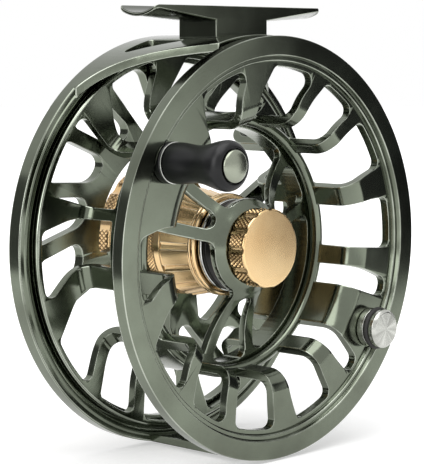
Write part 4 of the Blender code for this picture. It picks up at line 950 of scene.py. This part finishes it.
def paper(name, bm):
    """A sheet of studio paper as an object, with a material that is still to be set up."""
    mesh = bpy.data.meshes.new(name)
    bm.to_mesh(mesh)
    bm.free()
    sheet = bpy.data.objects.new(name, mesh)
    bpy.context.scene.collection.objects.link(sheet)
    finish = bpy.data.materials.new(name)
    finish.use_nodes = True
    mesh.materials.append(finish)
    return sheet, finish.node_tree


def shown(tree):
    """1 for what the camera, a mirroring face or a clear piece shows, and 0 for light on the reel."""
    path = add(tree, "LightPath", {}).outputs
    seen, glossy, through = path["Is Camera Ray"], path["Is Glossy Ray"], path["Is Transmission Ray"]
    direct = add(tree, "Math", {0: seen, 1: glossy}, operation="MAXIMUM").outputs[0]
    return add(tree, "Math", {0: direct, 1: through}, operation="MAXIMUM").outputs[0]


sweep = bmesh.new()
bmesh.ops.create_circle(sweep, cap_ends=True, segments=96, radius=3)
bmesh.ops.translate(sweep, verts=sweep.verts, vec=(0, 0, floor_height))
tree = paper("white_paper_sweep", sweep)[1]
shader = tree.nodes["Principled BSDF"]
shader.inputs["Base Color"].default_value = linear("#d0d0d0")
shader.inputs["Roughness"].default_value = 0.9
shader.inputs["Emission Color"].default_value = linear("#ffffff")
# The sweep is shown white to the camera and in the metal, and less so near the reel, where its
# own light and shade are kept.
place = add(tree, "TexCoord", {}).outputs["Object"]
away = add(tree, "VectorMath", {0: place, 1: (0, 0, floor_height)}, operation="DISTANCE").outputs["Value"]
rise = add(tree, "MapRange", {"Value": away, 1: 0.02, 2: 0.35, 3: 0.45, 4: 1.0}).outputs[0]
glow = add(tree, "Math", {0: shown(tree), 1: rise}, operation="MULTIPLY").outputs[0]
tree.links.new(glow, shader.inputs["Emission Strength"])


def shade_card(name, middle, width, height, shade):
    """An upright sheet of card that faces the reel and isn't in the picture."""
    bm = bmesh.new()
    bmesh.ops.create_grid(bm, x_segments=1, y_segments=1, size=0.5)
    bmesh.ops.scale(bm, verts=bm.verts, vec=(width, height, 1))
    aim = Vector((-middle[0], -middle[1], 0)).to_track_quat("Z", "Y").to_matrix().to_4x4()
    bm.transform(Matrix.Translation(middle) @ aim)
    card, tree = paper(name, bm)
    shader = tree.nodes["Principled BSDF"]
    shader.inputs["Base Color"].default_value = linear(shade)
    shader.inputs["Roughness"].default_value = 0.9
    card.visible_camera = False


shade_card("dark_card_right", (0.30, -0.14, floor_height + 0.1), 0.26, 0.2, "#26272a")
shade_card("grey_card_back", (-0.20, 0.17, floor_height + 0.08), 0.2, 0.16, "#7c7d7c")

world = bpy.data.worlds.new("studio")
bpy.context.scene.world = world
world.use_nodes = True
tree = world.node_tree
tree.nodes.clear()
level = add(tree, "MapRange", {"Value": shown(tree), 3: 0.5, 4: 1.0}).outputs[0]
backdrop = add(tree, "Background", {"Color": linear("#ffffff"), "Strength": level}).outputs[0]
add(tree, "OutputWorld", {"Surface": backdrop})


def softbox(name, place, size, power):
    """A square area lamp that looks at the middle of the reel."""
    lamp = bpy.data.lights.new(name, "AREA")
    lamp.size = size
    lamp.energy = power
    holder = bpy.data.objects.new(name, lamp)
    holder.location = place
    aim = Vector((0, 0, spin_height)) - Vector(place)
    holder.rotation_euler = aim.to_track_quat("-Z", "Y").to_euler()
    bpy.context.scene.collection.objects.link(holder)


softbox("overhead", (-0.15, -0.2, 0.75), 0.9, 7)
softbox("left", (-0.9, -0.1, 0.3), 0.6, 3)

camera = bpy.data.cameras.new("camera")
camera.lens = 144.25
camera.sensor_width = 36
camera.shift_x = -0.0177
camera.shift_y = 0.0258
tripod = bpy.data.objects.new("camera", camera)
tripod.location = (-0.3205, -0.3123, -0.0097)
tripod.rotation_euler = (math.radians(84.2), math.radians(0.05), math.radians(-45.65))
bpy.context.scene.collection.objects.link(tripod)
bpy.context.scene.camera = tripod
bpy.context.scene.view_settings.view_transform = "Standard"
